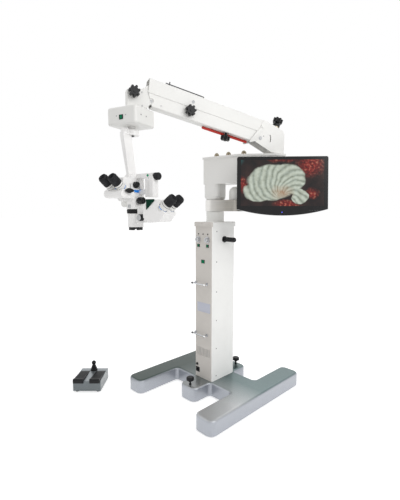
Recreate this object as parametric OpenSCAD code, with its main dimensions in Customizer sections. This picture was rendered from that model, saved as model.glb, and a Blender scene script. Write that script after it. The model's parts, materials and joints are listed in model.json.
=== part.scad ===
// Surgical microscope on a mobile floor stand.
// The origin is on the floor under the axis of the column.
// +Z is up, -Y is the side of the control panel and +X is the side of the push handle.

/* [Base] */
// Length of each floor leg
leg_length = 870; // [760:1:980]
// Width of each floor leg
leg_width = 138; // [124:1:150]
// Distance between the centre lines of the two legs
leg_spacing = 640; // [600:1:700]
// Depth of the beam that joins the legs
beam_depth = 232; // [226:1:260]
// Width of the two short toes in front of and behind the column
toe_width = 138; // [120:1:150]
// Length over the two toes
toe_length = 514; // [500:1:560]
// Height of the base casting
base_height = 86; // [80:1:96]
// Gap between the casting and the floor
ground_gap = 6; // [3:1:12]
// Radius of the upright corners of the legs
leg_corner = 40; // [20:1:55]
// Radius of the soft upper edge of the casting
base_edge = 14; // [6:1:18]
// Thickness of the walls and ribs of the casting
base_wall = 7; // [5:1:10]
// Thickness of the top of the casting
base_roof = 9; // [7:1:12]

/* [Jack screws] */
// Distance of each jack screw from the column axis
jack_reach = 224; // [218:1:228]
// Radius of the stem
jack_stem_r = 5; // [4:0.5:7]
// Radius of the mushroom head
jack_head_r = 24.5; // [18:0.5:28]
// Height of the head above the base
jack_head_rise = 50; // [44:1:60]
// Radius of the floor pad
jack_pad_r = 20; // [14:1:21]
// Thickness of the floor pad
jack_pad_height = 8; // [6:1:10]

/* [Casters] */
// Distance of each caster from the centre of its leg
caster_inset = 95; // [85:1:105]
// Radius of the wheel
wheel_r = 25; // [22:0.5:26]
// Width of the wheel
wheel_width = 20; // [14:1:24]
// Distance of the wheel axle behind the swivel axis
caster_trail = 16; // [12:1:22]
// Thickness of the fork
fork_wall = 4; // [3:0.5:5]
// Radius of the king pin
king_pin_r = 8; // [6:0.5:9]

/* [Column] */
// Width of the column, across the control panel
column_width = 152; // [140:1:170]
// Depth of the column
column_depth = 212; // [196:1:220]
// Height of the column above the base
column_height = 998; // [900:1:1100]
// Thickness of the sheet metal
column_wall = 4; // [3:0.5:6]
// Radius of the upright corners
column_corner = 7; // [4:1:12]
// Overhang of the cap
cap_overhang = 7; // [3:1:10]
// Height of the cap
cap_height = 30; // [20:1:40]
// Outer radius of the post that carries the arms
post_r = 57.5; // [52:0.5:64]
// Height of the post above the cap
post_rise = 66; // [50:1:80]
// Radius of the shaft on which both arms turn
shaft_r = 30; // [24:1:34]
// Height of the shaft above the post
shaft_rise = 150; // [140:1:160]

/* [Control panel] */
// Radius of the dial skirt
dial_r = 19; // [15:0.5:22]
// Distance between the two dials
dial_spacing = 80; // [70:1:90]
// Depth of the dial below the cap
dial_drop = 82; // [70:1:100]
// Depth of the small rockers below the cap
small_rocker_drop = 121; // [112:1:130]
// Depth of the main rocker below the cap
main_rocker_drop = 222; // [180:1:260]
// Width of the rocker frame
rocker_width = 30; // [26:1:34]
// Height of the rocker frame
rocker_height = 22; // [18:1:26]
// Height of the upper cable rail above the base
upper_rail_height = 633; // [560:1:680]
// Height of the lower cable rail above the base
lower_rail_height = 299; // [260:1:340]
// Length of a cable rail
rail_length = 116; // [90:1:130]
// Radius of the rail rod
rail_r = 4; // [3:0.5:5]
// Distance of the rail from the panel
rail_standoff = 26; // [18:1:34]
// Height of the vent slots above the base
vent_height = 179; // [165:1:200]
// Length of a vent slot
vent_slot_length = 56; // [40:1:64]
// Width of a vent slot
vent_slot_width = 5; // [4:0.5:6]
// Number of vent slots
vent_slots = 9; // [5:1:9]
// Height of the mains inlet above the base
inlet_height = 49; // [40:1:60]
// Width of the mains inlet
inlet_width = 30; // [28:1:34]

/* [Push handle] */
// Height of the push handle above the base
handle_drop = 81; // [70:1:110]
// Length of the push handle
handle_length = 92; // [80:1:120]
// Radius of the push handle
handle_r = 15; // [12:0.5:18]

/* [Monitor] */
// Turn of the steel monitor arm
monitor_arm_turn = 20; // [5:1:30]
// Distance from the column axis to the monitor post
monitor_arm_reach = 144; // [138:1:160]
// Half width of the steel monitor arm
monitor_arm_r = 63; // [60:1:68]
// Height of the steel monitor arm
monitor_arm_height = 70; // [60:1:76]
// Radius of the monitor post
monitor_post_r = 45; // [38:1:50]
// Height of the monitor post
monitor_post_height = 82; // [78:1:90]
// Turn of the monitor link
link_turn = 17.4; // [12:0.2:20]
// Distance from the post to the hinge behind the monitor
link_reach = 273.8; // [262:0.2:286]
// Turn of the monitor
monitor_turn = 42.2; // [36:0.2:48]
// Width of the monitor
monitor_width = 508; // [480:1:540]
// Height of the monitor at its corners
monitor_height = 296; // [280:1:310]
// Drop of the curved chin below the corners
chin_drop = 36; // [24:1:44]
// Thickness of the monitor
monitor_depth = 34; // [28:1:40]
// Width of the picture
screen_width = 464; // [440:1:470]
// Height of the picture
screen_height = 261; // [250:1:266]
// Height of the monitor's lower corners above the floor
monitor_rise = 1198; // [1190:1:1206]

/* [Horizontal arm] */
// Turn of the horizontal arm
swing_turn = 10; // [0:1:20]
// Half width of the neck and of the arm
neck_half = 58; // [55:1:64]
// Height of the neck below the arm
neck_height = 77; // [70:1:90]
// Height of the arm box
swing_height = 155; // [140:1:170]
// Length of the straight front side from the axis
swing_front = 205; // [180:1:230]
// Distance of the rear pivot along the arm
rear_along = 362.6; // [340:0.2:390]
// Distance of the rear pivot across the arm
rear_across = 98.5; // [80:0.5:115]
// Radius of the rounded arm end
swing_end_r = 60; // [56:1:70]
// Thickness of the arm walls
swing_wall = 5; // [4:0.5:8]
// Thickness of the lid
lid_thickness = 12; // [8:1:16]
// Overhang of the lid
lid_overhang = 5; // [2:1:8]
// Radius of the dome nuts
dome_nut_r = 16; // [12:0.5:18]

/* [Spring arm] */
// Turn of the spring arm, seen from above
arm_turn = 21; // [10:0.5:30]
// Horizontal distance from the rear swivel to the head swivel
arm_reach = 865; // [850:1:880]
// Horizontal distance from the rear swivel to the lower rear pin
rear_pin_back = 128; // [124:1:132]
// Horizontal distance between the rear and the front pins at rest
pin_run = 640; // [632:1:648]
// Rise from the rear pins to the front pins at rest
pin_lift = 133; // [128:1:138]
// Height of the lower rear pin above the floor
rear_pin_rise = 1605; // [1603:0.5:1607]
// Height of the upper pins above the lower pins
pin_gap = 66; // [64:0.5:68]
// Distance of the upper pins behind the lower pins
pin_offset = 18; // [15:0.5:21]
// Radius of the pins
pin_r = 7; // [5:0.5:8]
// Width of the upper cover
cover_width = 62; // [60:0.5:66]
// Thickness of the cover walls
cover_wall = 2.5; // [2:0.25:3]
// Height of the upper cover
upper_cover_height = 71; // [68:0.5:74]
// Height of the lower cover that shows below the seam
lower_cover_height = 63; // [60:0.5:66]
// Radius of the red rod under the arm
stroke_rod_r = 7; // [5:0.5:8]
// Length of the red rod under the arm
stroke_rod_length = 280; // [240:1:320]
// Radius of the star knobs
star_r = 29; // [24:0.5:32]
// Thickness of the star knobs
star_height = 22; // [16:1:28]
// Width of the front bracket
front_bracket_width = 49; // [44:1:50]
// Radius of the head swivel shaft
head_shaft_r = 12; // [9:0.5:14]

/* [Head box] */
// Turn of the head box
box_turn = 18.3; // [0:0.5:30]
// Width of the head box
box_width = 175; // [160:1:190]
// Depth of the head box
box_depth = 161; // [150:1:176]
// Height of the head box
box_height = 86; // [78:1:94]
// Radius of the edges of the head box
box_edge = 11; // [6:1:14]
// Height of the top of the head box above the floor
box_top = 1691; // [1688:1:1693]

/* [Drop arm] */
// Turn of the microscope about its upright axis
scope_turn = 8.7; // [0:0.1:20]
// Radius of the swivel boss
boss_r = 37; // [33:1:40]
// Height of the swivel boss
boss_height = 25; // [22:1:28]
// Thickness of the drop arm at the top
drop_width = 28; // [25:1:31]
// Thickness of the drop arm at the foot
drop_foot_width = 16; // [14:1:18]
// Depth of the drop arm
drop_depth = 51; // [46:1:56]
// Offset of the top of the drop arm towards the surgeon
drop_top_offset = 39; // [34:1:44]
// Offset of the foot of the drop arm towards the surgeon
drop_foot_offset = 7; // [4:1:10]
// Height of the tilt pin above the floor
tilt_rise = 1346; // [1344:1:1348]

/* [Microscope body] */
// Distance of the optical axis behind the swivel axis
optic_back = 16; // [8:1:24]
// Height of the objective's lower rim above the floor
objective_rise = 1090; // [1080:1:1100]
// Radius of the lower barrel
barrel_r = 40; // [36:0.5:44]
// Height of the lower barrel
barrel_height = 69; // [60:1:76]
// Radius of the magnification ring
ring_r = 44; // [42:0.5:48]
// Height of the magnification ring
ring_height = 23; // [18:1:28]
// Width of the square upper body
body_width = 68; // [64:1:76]
// Height of the upper body
body_height = 103; // [98:1:110]
// Radius of the objective rim
objective_r = 36; // [32:0.5:38]
// Height of the objective rim
objective_height = 16; // [12:1:20]

/* [Binoculars] */
// Distance between the two eyepieces
pupil_gap = 66; // [62:0.5:70]
// Slope of the eyepieces above the horizontal
eye_slope = 39; // [30:1:45]
// Radius of the ocular tube
ocular_r = 22; // [20:0.5:24]
// Length of the ocular tube
ocular_length = 52; // [46:1:60]
// Radius of the rubber eyecup
eyecup_r = 23.5; // [22:0.5:26]
// Length of the rubber eyecup
eyecup_length = 50; // [44:1:56]

/* [Foot switch] */
// Width of the foot switch
foot_width = 182; // [176:1:190]
// Depth of the foot switch
foot_depth = 200; // [196:1:215]
// Height of the case
foot_height = 76; // [76:1:80]
// Height of the rubber feet
foot_pad_height = 8; // [6:1:12]
// Turn of the foot switch
foot_turn = 45.7; // [40:0.1:50]

/* [Hidden] */
$fn = 64;

// Overrun of a cut past the face that it goes through
cut_over = 1;
// Radial clearance of a shaft in its bore
running_fit = 0.05;
// Gap between flat faces of pieces that move past each other
face_gap = 0.5;

// Heights of the stack on the column axis
base_top = ground_gap + base_height;
cap_bottom = base_top + column_height;
cap_top = cap_bottom + cap_height;
post_top = cap_top + post_rise;
monitor_arm_bottom = post_top + face_gap;
monitor_arm_top = monitor_arm_bottom + monitor_arm_height;
flange_bottom = monitor_arm_top + face_gap;
flange_height = 22;
flange_r = 66;
neck_bottom = flange_bottom + flange_height;
swing_bottom = neck_bottom + neck_height;
lid_bottom = swing_bottom + swing_height;
lid_top = lid_bottom + lid_thickness;
panel_y = -column_depth / 2;

// Casters and jack screws
caster_reach = leg_length / 2 - caster_inset;
caster_plate_r = 28;
caster_plate_height = 5;
caster_roof = base_top - base_roof;
caster_top = 2 * wheel_r + 3;
caster_pocket_length = 148;
king_pin_depth = 22;
leg_rib_reach = 140;
jack_boss_r = 16;
earth_post_r = 9;
earth_pad_r = 22;
jack_recess_r = 22;
jack_recess_top = 40;

// Monitor positions
post_x = monitor_arm_reach * cos(monitor_arm_turn);
post_y = monitor_arm_reach * sin(monitor_arm_turn);
hinge_x = post_x + link_reach * cos(link_turn);
hinge_y = post_y + link_reach * sin(link_turn);
hinge_r = 22;
hinge_pin_r = 10;
hinge_bottom = 1262;
hinge_top = 1330;
yoke_ear = 11;
yoke_setback = 94.1;
tilt_setback = 57.7;
monitor_tilt = 5.6;
monitor_mid = monitor_rise + monitor_height / 2;
monitor_tilt_drop = 5.7;
yoke_rod_r = 6;
yoke_width = 60;

// Swing arm outline
rear_pivot_x = rear_along * cos(swing_turn) - rear_across * sin(swing_turn);
rear_pivot_y = rear_along * sin(swing_turn) + rear_across * cos(swing_turn);
rear_spigot_r = 22;
rear_spigot_depth = 80;

// Spring arm, in its own upright plane
arm_slope = atan(pin_lift / pin_run);
link_length = sqrt(pin_run * pin_run + pin_lift * pin_lift);
front_pin_back = rear_pin_back + pin_run;
front_pin_rise = rear_pin_rise + pin_lift;
head_x = rear_pivot_x - arm_reach * sin(arm_turn);
head_y = rear_pivot_y - arm_reach * cos(arm_turn);
upper_pin_along = pin_offset * cos(arm_slope) - pin_gap * sin(arm_slope);
upper_pin_up = pin_offset * sin(arm_slope) + pin_gap * cos(arm_slope);
seam_up = 36;
cover_top_up = seam_up + upper_cover_height - 0.5;
cover_bottom_up = seam_up - lower_cover_height;
lower_width = cover_width - 2 * cover_wall - 2 * face_gap;
link_height = 26;
link_width = 16;
fork_inner = cover_width / 2 + 1;
fork_outer = fork_inner + 3.5;
front_knob_back = 7;
front_knob_up = 32;
star_stem = 9;
cap_r = 10;
cap_rise = 3;

// Head
rocker_drop_share = 0.6;
head_box_bottom = box_top - box_height;
scope_neck_r = 17;
boss_top = head_box_bottom - 15;
boss_bottom = boss_top - boss_height;
barrel_bottom = objective_rise + objective_height;
ring_bottom = barrel_bottom + barrel_height;
body_bottom = ring_bottom + ring_height;
body_top = body_bottom + body_height;
cheek_r = 30;
port_x = 86;
port_rise = barrel_bottom + 69;
binocular_port = body_bottom + 62;
eye_base_out = 110;
eye_base_up = body_bottom + 95;
drum_out = 128;
drum_up = body_bottom + 74;
drum_r = 21;
drum_width = 128;
tube_bore_r = 17;
wing_x = 8;
wing_width = 34;
hood_top = body_top + 51;
hood_front = 106;
hood_back = 58;
hood_width = 74;
assist_out = 92;
assist_up = 14;
assist_yaw = 10;
assist_width = pupil_gap + 2 * ocular_r;

nut_alongs = [10.8, 97.5, 199.7];
nut_acrosses = [0, 0, 10];

foot_x = -603;
foot_y = -590;
foot_edge = 4;
pedal_width = 64;
pedal_spacing = 108;
pedal_hinge_y = 46;
pedal_hinge_up = 70;
pedal_pin_r = 3.5;
lip_bottom = 65;
lip_top = 95;
lip_depth = 17;
lip_round = 4.5;
lip_gap = 2;
pocket_floor = 52;
front_wall_top = 60;
front_wall = 8;
stick_y = 68;
stick_pivot_up = 60;
stick_bore_r = 7.5;
boot_r = 23;
boot_recess = 5;
stick_ball_up = 130;
stick_ball_r = 15;

// Shapes shared by several pieces

function tangent(p, c, r, s) =
  let (v = p - c, b = atan2(v[1], v[0]), a = acos(r / norm(v)))
  c + r * [cos(b + s * a), sin(b + s * a)];

module rounded_rect(w, d, r) {
  square([w - 2 * r, d], center = true);
  square([w, d - 2 * r], center = true);
  for (i = [-1, 1], j = [-1, 1]) translate([i * (w / 2 - r), j * (d / 2 - r)]) circle(r);
}

module rounded_bar(w, d, h, r) {
  linear_extrude(h) rounded_rect(w, d, r);
}

// Slab with rounded upright corners and a rounded upper edge
module slab_post(h, r, e) {
  rotate_extrude() {
    square([r - e, h]);
    square([r, h - e]);
    translate([r - e, h - e]) intersection() {
      circle(e);
      square(e);
    }
  }
}

module soft_slab(w, d, h, r, e) {
  for (i = [-1, 1], j = [-1, 1]) translate([i * (w / 2 - r), j * (d / 2 - r), 0]) slab_post(h, r, e);
  for (j = [0, 1]) rotate([0, 0, 90 * j]) {
    a = j == 0 ? w : d;
    b = j == 0 ? d : w;
    translate([-(a / 2 - r), 0, 0]) rotate([90, 0, 90]) linear_extrude(a - 2 * r) {
      translate([-b / 2 + e, 0]) square([b - 2 * e, h]);
      translate([-b / 2, 0]) square([b, h - e]);
      for (s = [-1, 1]) translate([s * (b / 2 - e), h - e]) circle(e);
    }
  }
}

// Box with all its edges rounded
module soft_box(w, d, h, r, e) {
  soft_slab(w, d, h / 2, r, e);
  mirror([0, 0, 1]) soft_slab(w, d, h / 2, r, e);
}

// Turned piece with a rounded upper edge
module button(r, h, e) {
  slab_post(h, r, e);
}

// Star knob with seven lobes and its stem, standing on z = 0
module star_knob(r, h, stem_r, stem) {
  lobe_r = r * 0.23;
  cylinder(h = stem + 1, r = stem_r);
  translate([0, 0, stem]) {
    cylinder(h = h, r = r * 0.68);
    for (i = [0:6]) rotate([0, 0, i * 360 / 7]) translate([r - lobe_r, 0, 0]) button(lobe_r, h, 2);
    cylinder(h = h * 1.12, r = r * 0.3);
  }
}

// Local frames
module in_swing() {
  rotate([0, 0, swing_turn]) children();
}

module in_arm() {
  translate([rear_pivot_x, rear_pivot_y, 0]) rotate([0, 0, -arm_turn]) children();
}

module in_link() {
  in_arm() translate([0, -rear_pin_back, rear_pin_rise]) rotate([-arm_slope, 0, 0]) children();
}

module in_box() {
  translate([head_x, head_y, 0]) rotate([0, 0, box_turn]) children();
}

module in_scope() {
  translate([head_x, head_y, 0]) rotate([0, 0, scope_turn]) children();
}

module in_optic() {
  in_scope() translate([0, optic_back, 0]) children();
}

module in_monitor() {
  translate([hinge_x, hinge_y, 0]) rotate([0, 0, monitor_turn]) children();
}

module in_screen() {
  in_monitor() translate([0, -yoke_setback, monitor_mid]) rotate([-monitor_tilt, 0, 0]) children();
}

module in_foot() {
  translate([foot_x, foot_y, 0]) rotate([0, 0, foot_turn]) children();
}

// Profile in the arm's upright plane, drawn as run towards the head and height
module arm_plate(half) {
  rotate([90, 0, -90]) translate([0, 0, -half]) linear_extrude(2 * half) children();
}

// Base

module leg_pocket(y0, y1) {
  translate([0, (y0 + y1) / 2, 0])
    rounded_bar(leg_width - 2 * base_wall, abs(y1 - y0), caster_roof, 20);
}

module inner_fillet(x, y, sx, sy) {
  fillet_r = 24;
  translate([x, y, ground_gap]) mirror([sx < 0 ? 1 : 0, 0, 0]) mirror([0, sy < 0 ? 1 : 0, 0]) difference() {
    translate([-base_edge, -base_edge, 0])
      cube([fillet_r + base_edge, fillet_r + base_edge, base_height]);
    translate([fillet_r, fillet_r, -cut_over]) cylinder(h = base_height + 2 * cut_over, r = fillet_r);
    translate([fillet_r, fillet_r, base_height - base_edge]) rotate_extrude() difference() {
      square([fillet_r + base_edge, base_edge + cut_over]);
      translate([fillet_r + base_edge, 0]) circle(base_edge);
    }
  }
}

module base_outer() {
  for (i = [-1, 1]) translate([i * leg_spacing / 2, 0, ground_gap])
    soft_slab(leg_width, leg_length, base_height, leg_corner, base_edge);
  translate([0, 0, ground_gap])
    soft_slab(leg_spacing, beam_depth, base_height, leg_corner, base_edge);
  translate([0, 0, ground_gap])
    soft_slab(toe_width, toe_length, base_height, leg_corner, base_edge);
  for (i = [-1, 1], j = [-1, 1]) {
    inner_fillet(i * (leg_spacing - leg_width) / 2, j * beam_depth / 2, -i, j);
    inner_fillet(i * toe_width / 2, j * beam_depth / 2, i, j);
  }
}

module base_frame() {
  color("silver") {
    difference() {
      base_outer();
      for (i = [-1, 1]) translate([i * leg_spacing / 2, 0, 0]) for (j = [-1, 1]) {
        leg_pocket(j * (leg_length / 2 - base_wall), j * (leg_length / 2 - caster_pocket_length));
        leg_pocket(j * (leg_length / 2 - caster_pocket_length - base_wall), j * leg_rib_reach);
        leg_pocket(j * (leg_rib_reach - base_wall), j * base_wall / 2);
      }
      for (i = [-1, 1]) translate([i * (leg_spacing - leg_width + toe_width) / 4, 0, 0])
        rounded_bar((leg_spacing - leg_width - toe_width) / 2 - 2 * base_wall,
          beam_depth - 2 * base_wall, caster_roof, 20);
      rounded_bar(toe_width - 2 * base_wall, toe_length - 2 * base_wall, caster_roof, 20);
      for (j = [-1, 1]) translate([0, j * jack_reach, 0])
        cylinder(h = base_top + cut_over, r = jack_stem_r + running_fit);
    }
    difference() {
      union() {
        for (i = [-1, 1], j = [-1, 1]) translate([i * leg_spacing / 2, j * caster_reach, 0])
          translate([0, 0, caster_top + face_gap])
            cylinder(h = caster_roof - caster_top, r = king_pin_r + 6);
        for (j = [-1, 1]) translate([0, j * jack_reach, jack_recess_top])
          cylinder(h = caster_roof - jack_recess_top + 1, r = jack_boss_r);
        for (j = [-1, 1]) translate([-toe_width / 2 + 1, j * beam_depth / 2 - base_wall / 2, ground_gap])
          cube([toe_width - 2, base_wall, base_height - base_roof + 1]);
        cylinder(h = caster_roof + 1, r = earth_post_r);
        cylinder(h = ground_gap, r = earth_pad_r);
      }
      for (i = [-1, 1], j = [-1, 1]) translate([i * leg_spacing / 2, j * caster_reach, caster_top])
        cylinder(h = king_pin_depth + 1, r = king_pin_r + running_fit);
      for (j = [-1, 1]) translate([0, j * jack_reach, 0])
        cylinder(h = base_top, r = jack_stem_r + running_fit);
    }
  }
}

module jack(side) {
  head_bottom = base_top + jack_head_rise - 18;
  color("black") translate([0, side * jack_reach, 0]) {
    cylinder(h = head_bottom, r = jack_stem_r);
    cylinder(h = jack_pad_height, r = jack_pad_r);
    translate([0, 0, jack_pad_height]) cylinder(h = 10, r1 = 14, r2 = jack_stem_r);
    translate([0, 0, head_bottom - 18]) cylinder(h = 18, r1 = jack_stem_r, r2 = jack_head_r * 0.8);
    translate([0, 0, head_bottom - 2]) button(jack_head_r, 20, 8);
    translate([0, 0, base_top + 1]) cylinder(h = 4, r = jack_stem_r + 3);
  }
}

module front_jack() {
  jack(-1);
}

module rear_jack() {
  jack(1);
}

module caster(side, end) {
  color("dimgray") translate([side * leg_spacing / 2, end * caster_reach, 0]) {
    translate([0, 0, caster_top - caster_plate_height]) {
      cylinder(h = caster_plate_height, r = caster_plate_r);
      cylinder(h = caster_plate_height + king_pin_depth, r = king_pin_r);
    }
    for (i = [-1, 1]) difference() {
      translate([i * (wheel_width / 2 + 1 + fork_wall / 2), 0, 0]) rotate([90, 0, 90])
        linear_extrude(fork_wall, center = true)
          polygon([[-14, caster_top - 2], [14, caster_top - 2], [caster_trail + 9, wheel_r],
            [caster_trail + 5, wheel_r - 9], [caster_trail - 5, wheel_r - 9],
            [caster_trail - 9, wheel_r]]);
    }
    translate([0, caster_trail, wheel_r]) rotate([0, 90, 0])
      cylinder(h = wheel_width + 2 * fork_wall + 6, r = 4, center = true);
    translate([0, caster_trail, wheel_r]) rotate([0, 90, 0]) {
      cylinder(h = wheel_width, r = wheel_r - 2, center = true);
      cylinder(h = wheel_width - 5, r = wheel_r, center = true);
    }
  }
}

module front_left_caster() {
  caster(-1, -1);
}

module front_right_caster() {
  caster(1, -1);
}

module rear_left_caster() {
  caster(-1, 1);
}

module rear_right_caster() {
  caster(1, 1);
}

// Column

module inlet_place(grow) {
  translate([-column_width / 2 + 25, panel_y - 1, base_top + inlet_height])
    cube([inlet_width + 2 * grow, 12, 30 + 2 * grow], center = true);
}

module column_shell() {
  color("gainsboro") difference() {
    translate([0, 0, base_top]) linear_extrude(column_height) difference() {
      rounded_rect(column_width, column_depth, column_corner);
      rounded_rect(column_width - 2 * column_wall, column_depth - 2 * column_wall,
        column_corner - column_wall + 1);
    }
    for (i = [0:vent_slots - 1])
      translate([(i - (vent_slots - 1) / 2) * 13, panel_y, base_top + vent_height])
        cube([vent_slot_width, 3 * column_wall, vent_slot_length], center = true);
    for (i = [0:vent_slots - 1])
      translate([(i - (vent_slots - 1) / 2) * 13, -panel_y, base_top + vent_height])
        cube([vent_slot_width, 3 * column_wall, vent_slot_length], center = true);
    translate([0, 3, 0]) inlet_place(0);
    for (x = [-dial_spacing / 2 - 6, dial_spacing / 2 - 6]) {
      translate([x, panel_y, cap_bottom - dial_drop]) rotate([90, 0, 0])
        cylinder(h = 4 * column_wall, r = 6.5, center = true);
      translate([x, panel_y, cap_bottom - small_rocker_drop])
        cube([12, 4 * column_wall, 14.6], center = true);
    }
    translate([-4, panel_y, cap_bottom - main_rocker_drop])
      cube([rocker_width - 6, 4 * column_wall, rocker_height - 3.4], center = true);
    translate([column_width / 2, 5, cap_bottom - handle_drop]) rotate([0, 90, 0])
      cylinder(h = 4 * column_wall, r = 7, center = true);
  }
}

module column_cap() {
  color("whitesmoke") {
    translate([0, 0, cap_bottom])
      soft_slab(column_width + 2 * cap_overhang, column_depth + 2 * cap_overhang, cap_height, 12, 6);
    translate([0, 0, cap_bottom - 14]) difference() {
      rounded_bar(column_width - 2 * column_wall, column_depth - 2 * column_wall, 15, 4);
      translate([0, 0, -cut_over])
        rounded_bar(column_width - 6 * column_wall, column_depth - 6 * column_wall, 14 + cut_over, 4);
    }
  }
}

module stand_post() {
  color("whitesmoke") {
    translate([0, 0, cap_top]) button(post_r, post_rise, 2);
    translate([0, 0, post_top - 1]) cylinder(h = shaft_rise + 1, r = shaft_r);
  }
}

module cable_rails() {
  color("silver") for (h = [upper_rail_height, lower_rail_height])
    translate([-20, panel_y - rail_standoff, base_top + h]) {
      rotate([0, 90, 0]) cylinder(h = rail_length, r = rail_r, center = true);
      for (i = [-1, 1]) translate([i * (rail_length / 2 - 8), 0, 0]) rotate([-90, 0, 0]) {
        cylinder(h = rail_standoff, r = rail_r + 1);
        translate([0, 0, rail_standoff - 3]) cylinder(h = 3, r = 10);
      }
      translate([rail_length / 2 - 2, 0, 0]) sphere(rail_r + 2);
      translate([-rail_length / 2 + 2, 0, 0]) sphere(rail_r + 2);
    }
}

module mains_inlet() {
  color("black") {
    translate([-column_width / 2 + 25, panel_y, base_top + inlet_height]) difference() {
      union() {
        translate([0, -1.5, 0]) cube([inlet_width + 2, 3, 32], center = true);
        translate([0, 8, 0]) cube([inlet_width - 4, 22, 26], center = true);
      }
      translate([0, 2, 0]) cube([inlet_width - 10, 16, 18], center = true);
    }
    for (i = [-1, 0, 1])
      translate([-column_width / 2 + 25 + i * 6, panel_y + 4, base_top + inlet_height + (i == 0 ? 3 : -2)])
        cube([2, 16, 5], center = true);
    translate([-column_width / 2 + 20, panel_y, base_top + inlet_height + 36]) rotate([90, 0, 0]) {
      cylinder(h = 3, r = 9);
      button(6, 9, 1.5);
    }
  }
}

module push_handle() {
  color("black") translate([column_width / 2, 5, cap_bottom - handle_drop]) rotate([0, 90, 0]) {
    cylinder(h = 6, r = 20);
    cylinder(h = handle_length - 30, r = handle_r - 2);
    translate([0, 0, 16]) button(handle_r, handle_length - 16, 9);
    translate([0, 0, 10]) cylinder(h = 7, r1 = handle_r - 3, r2 = handle_r);
    translate([0, 0, -8]) cylinder(h = 9, r = 7);
  }
}

module dial(x) {
  color("silver") translate([x, panel_y, cap_bottom - dial_drop]) rotate([90, 0, 0]) {
    translate([0, 0, face_gap]) difference() {
      union() {
        cylinder(h = 4, r = dial_r);
        cylinder(h = 12, r1 = dial_r * 0.82, r2 = dial_r * 0.72);
        translate([0, 0, 11]) button(dial_r * 0.72, 6, 1.5);
      }
      translate([-1, dial_r * 0.2, 15.5]) cube([2, dial_r, 4]);
    }
    translate([0, 0, -8]) cylinder(h = 12, r = 6.5 - running_fit);
  }
}

module left_dial() {
  dial(-dial_spacing / 2 - 6);
}

module right_dial() {
  dial(dial_spacing / 2 - 6);
}

module rocker(w, h, d) {
  rotate([90, 0, 90]) linear_extrude(w, center = true)
    polygon([[d, -h / 2], [-4, -h / 2], [-1.5, 0], [-3, h / 2], [d, h / 2], [2 * d, 0]]);
}

module small_rocker(x) {
  color("darkgreen") translate([x, panel_y, cap_bottom - small_rocker_drop]) rocker(11.4, 13.4, 3);
}

module left_rocker() {
  small_rocker(-dial_spacing / 2 - 6);
}

module right_rocker() {
  small_rocker(dial_spacing / 2 - 6);
}

module main_rocker() {
  color("darkgreen") translate([-4, panel_y, cap_bottom - main_rocker_drop])
    rocker(rocker_width - 6.6, rocker_height - 4.6, 4);
}

// Monitor

module monitor_arm() {
  color("lightsteelblue") difference() {
    rotate([0, 0, monitor_arm_turn]) translate([0, 0, monitor_arm_bottom]) linear_extrude(monitor_arm_height) {
      circle(monitor_arm_r);
      translate([monitor_arm_reach, 0]) circle(monitor_arm_r);
      translate([0, -monitor_arm_r]) square([monitor_arm_reach, 2 * monitor_arm_r]);
    }
    translate([0, 0, monitor_arm_bottom - cut_over])
      cylinder(h = monitor_arm_height + 2 * cut_over, r = shaft_r + running_fit);
    translate([post_x, post_y, monitor_arm_bottom + 20])
      cylinder(h = monitor_arm_height, r = 15 + running_fit);
  }
}

module monitor_post() {
  color("whitesmoke") difference() {
    union() {
      translate([post_x, post_y, flange_bottom])
        button(monitor_post_r, monitor_post_height, monitor_post_r * 0.82);
      translate([post_x, post_y, monitor_arm_bottom + 22]) cylinder(h = monitor_arm_height, r = 15);
      translate([post_x, post_y, 0]) rotate([0, 0, link_turn])
        translate([0, -24, hinge_bottom + 6]) cube([link_reach, 48, hinge_top - hinge_bottom - 12]);
      translate([hinge_x, hinge_y, hinge_bottom]) cylinder(h = hinge_top - hinge_bottom, r = hinge_r + 4);
    }
    translate([hinge_x, hinge_y, hinge_bottom - cut_over])
      cylinder(h = hinge_top - hinge_bottom + 2 * cut_over, r = hinge_pin_r + running_fit);
  }
}

module monitor_yoke() {
  color("dimgray") in_monitor() {
    translate([0, 0, hinge_bottom - face_gap - yoke_ear]) {
      cylinder(h = hinge_top - hinge_bottom + 2 * (yoke_ear + face_gap), r = hinge_pin_r);
      for (z = [0, yoke_ear + 2 * face_gap + hinge_top - hinge_bottom]) translate([0, 0, z]) {
        cylinder(h = yoke_ear, r = hinge_r);
        translate([-hinge_r, -yoke_setback + tilt_setback, 0]) cube([2 * hinge_r, yoke_setback - tilt_setback, yoke_ear]);
      }
    }
    translate([-hinge_r, -yoke_setback + tilt_setback - 8, hinge_bottom - face_gap - yoke_ear])
      cube([2 * hinge_r, 16, monitor_mid - hinge_bottom + yoke_ear]);
    translate([0, -yoke_setback + tilt_setback, monitor_mid - monitor_tilt_drop]) rotate([0, 90, 0]) {
      cylinder(h = yoke_width - 4, r = 13, center = true);
      cylinder(h = yoke_width + 24, r = yoke_rod_r, center = true);
    }
  }
}

module monitor_outline(w, h, chin) {
  big_r = (w * w / 4 + chin * chin) / (2 * chin);
  translate([-w / 2 + 10, -h / 2 + 10]) square([w - 20, h - 10]);
  translate([-w / 2, -h / 2]) square([w, h - 10]);
  for (i = [-1, 1]) translate([i * (w / 2 - 10), h / 2 - 10]) circle(10);
  intersection() {
    translate([0, big_r - h / 2 - chin]) circle(big_r, $fn = 400);
    translate([-w / 2, -h / 2 - chin - 1]) square([w, chin + 2]);
  }
}

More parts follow.
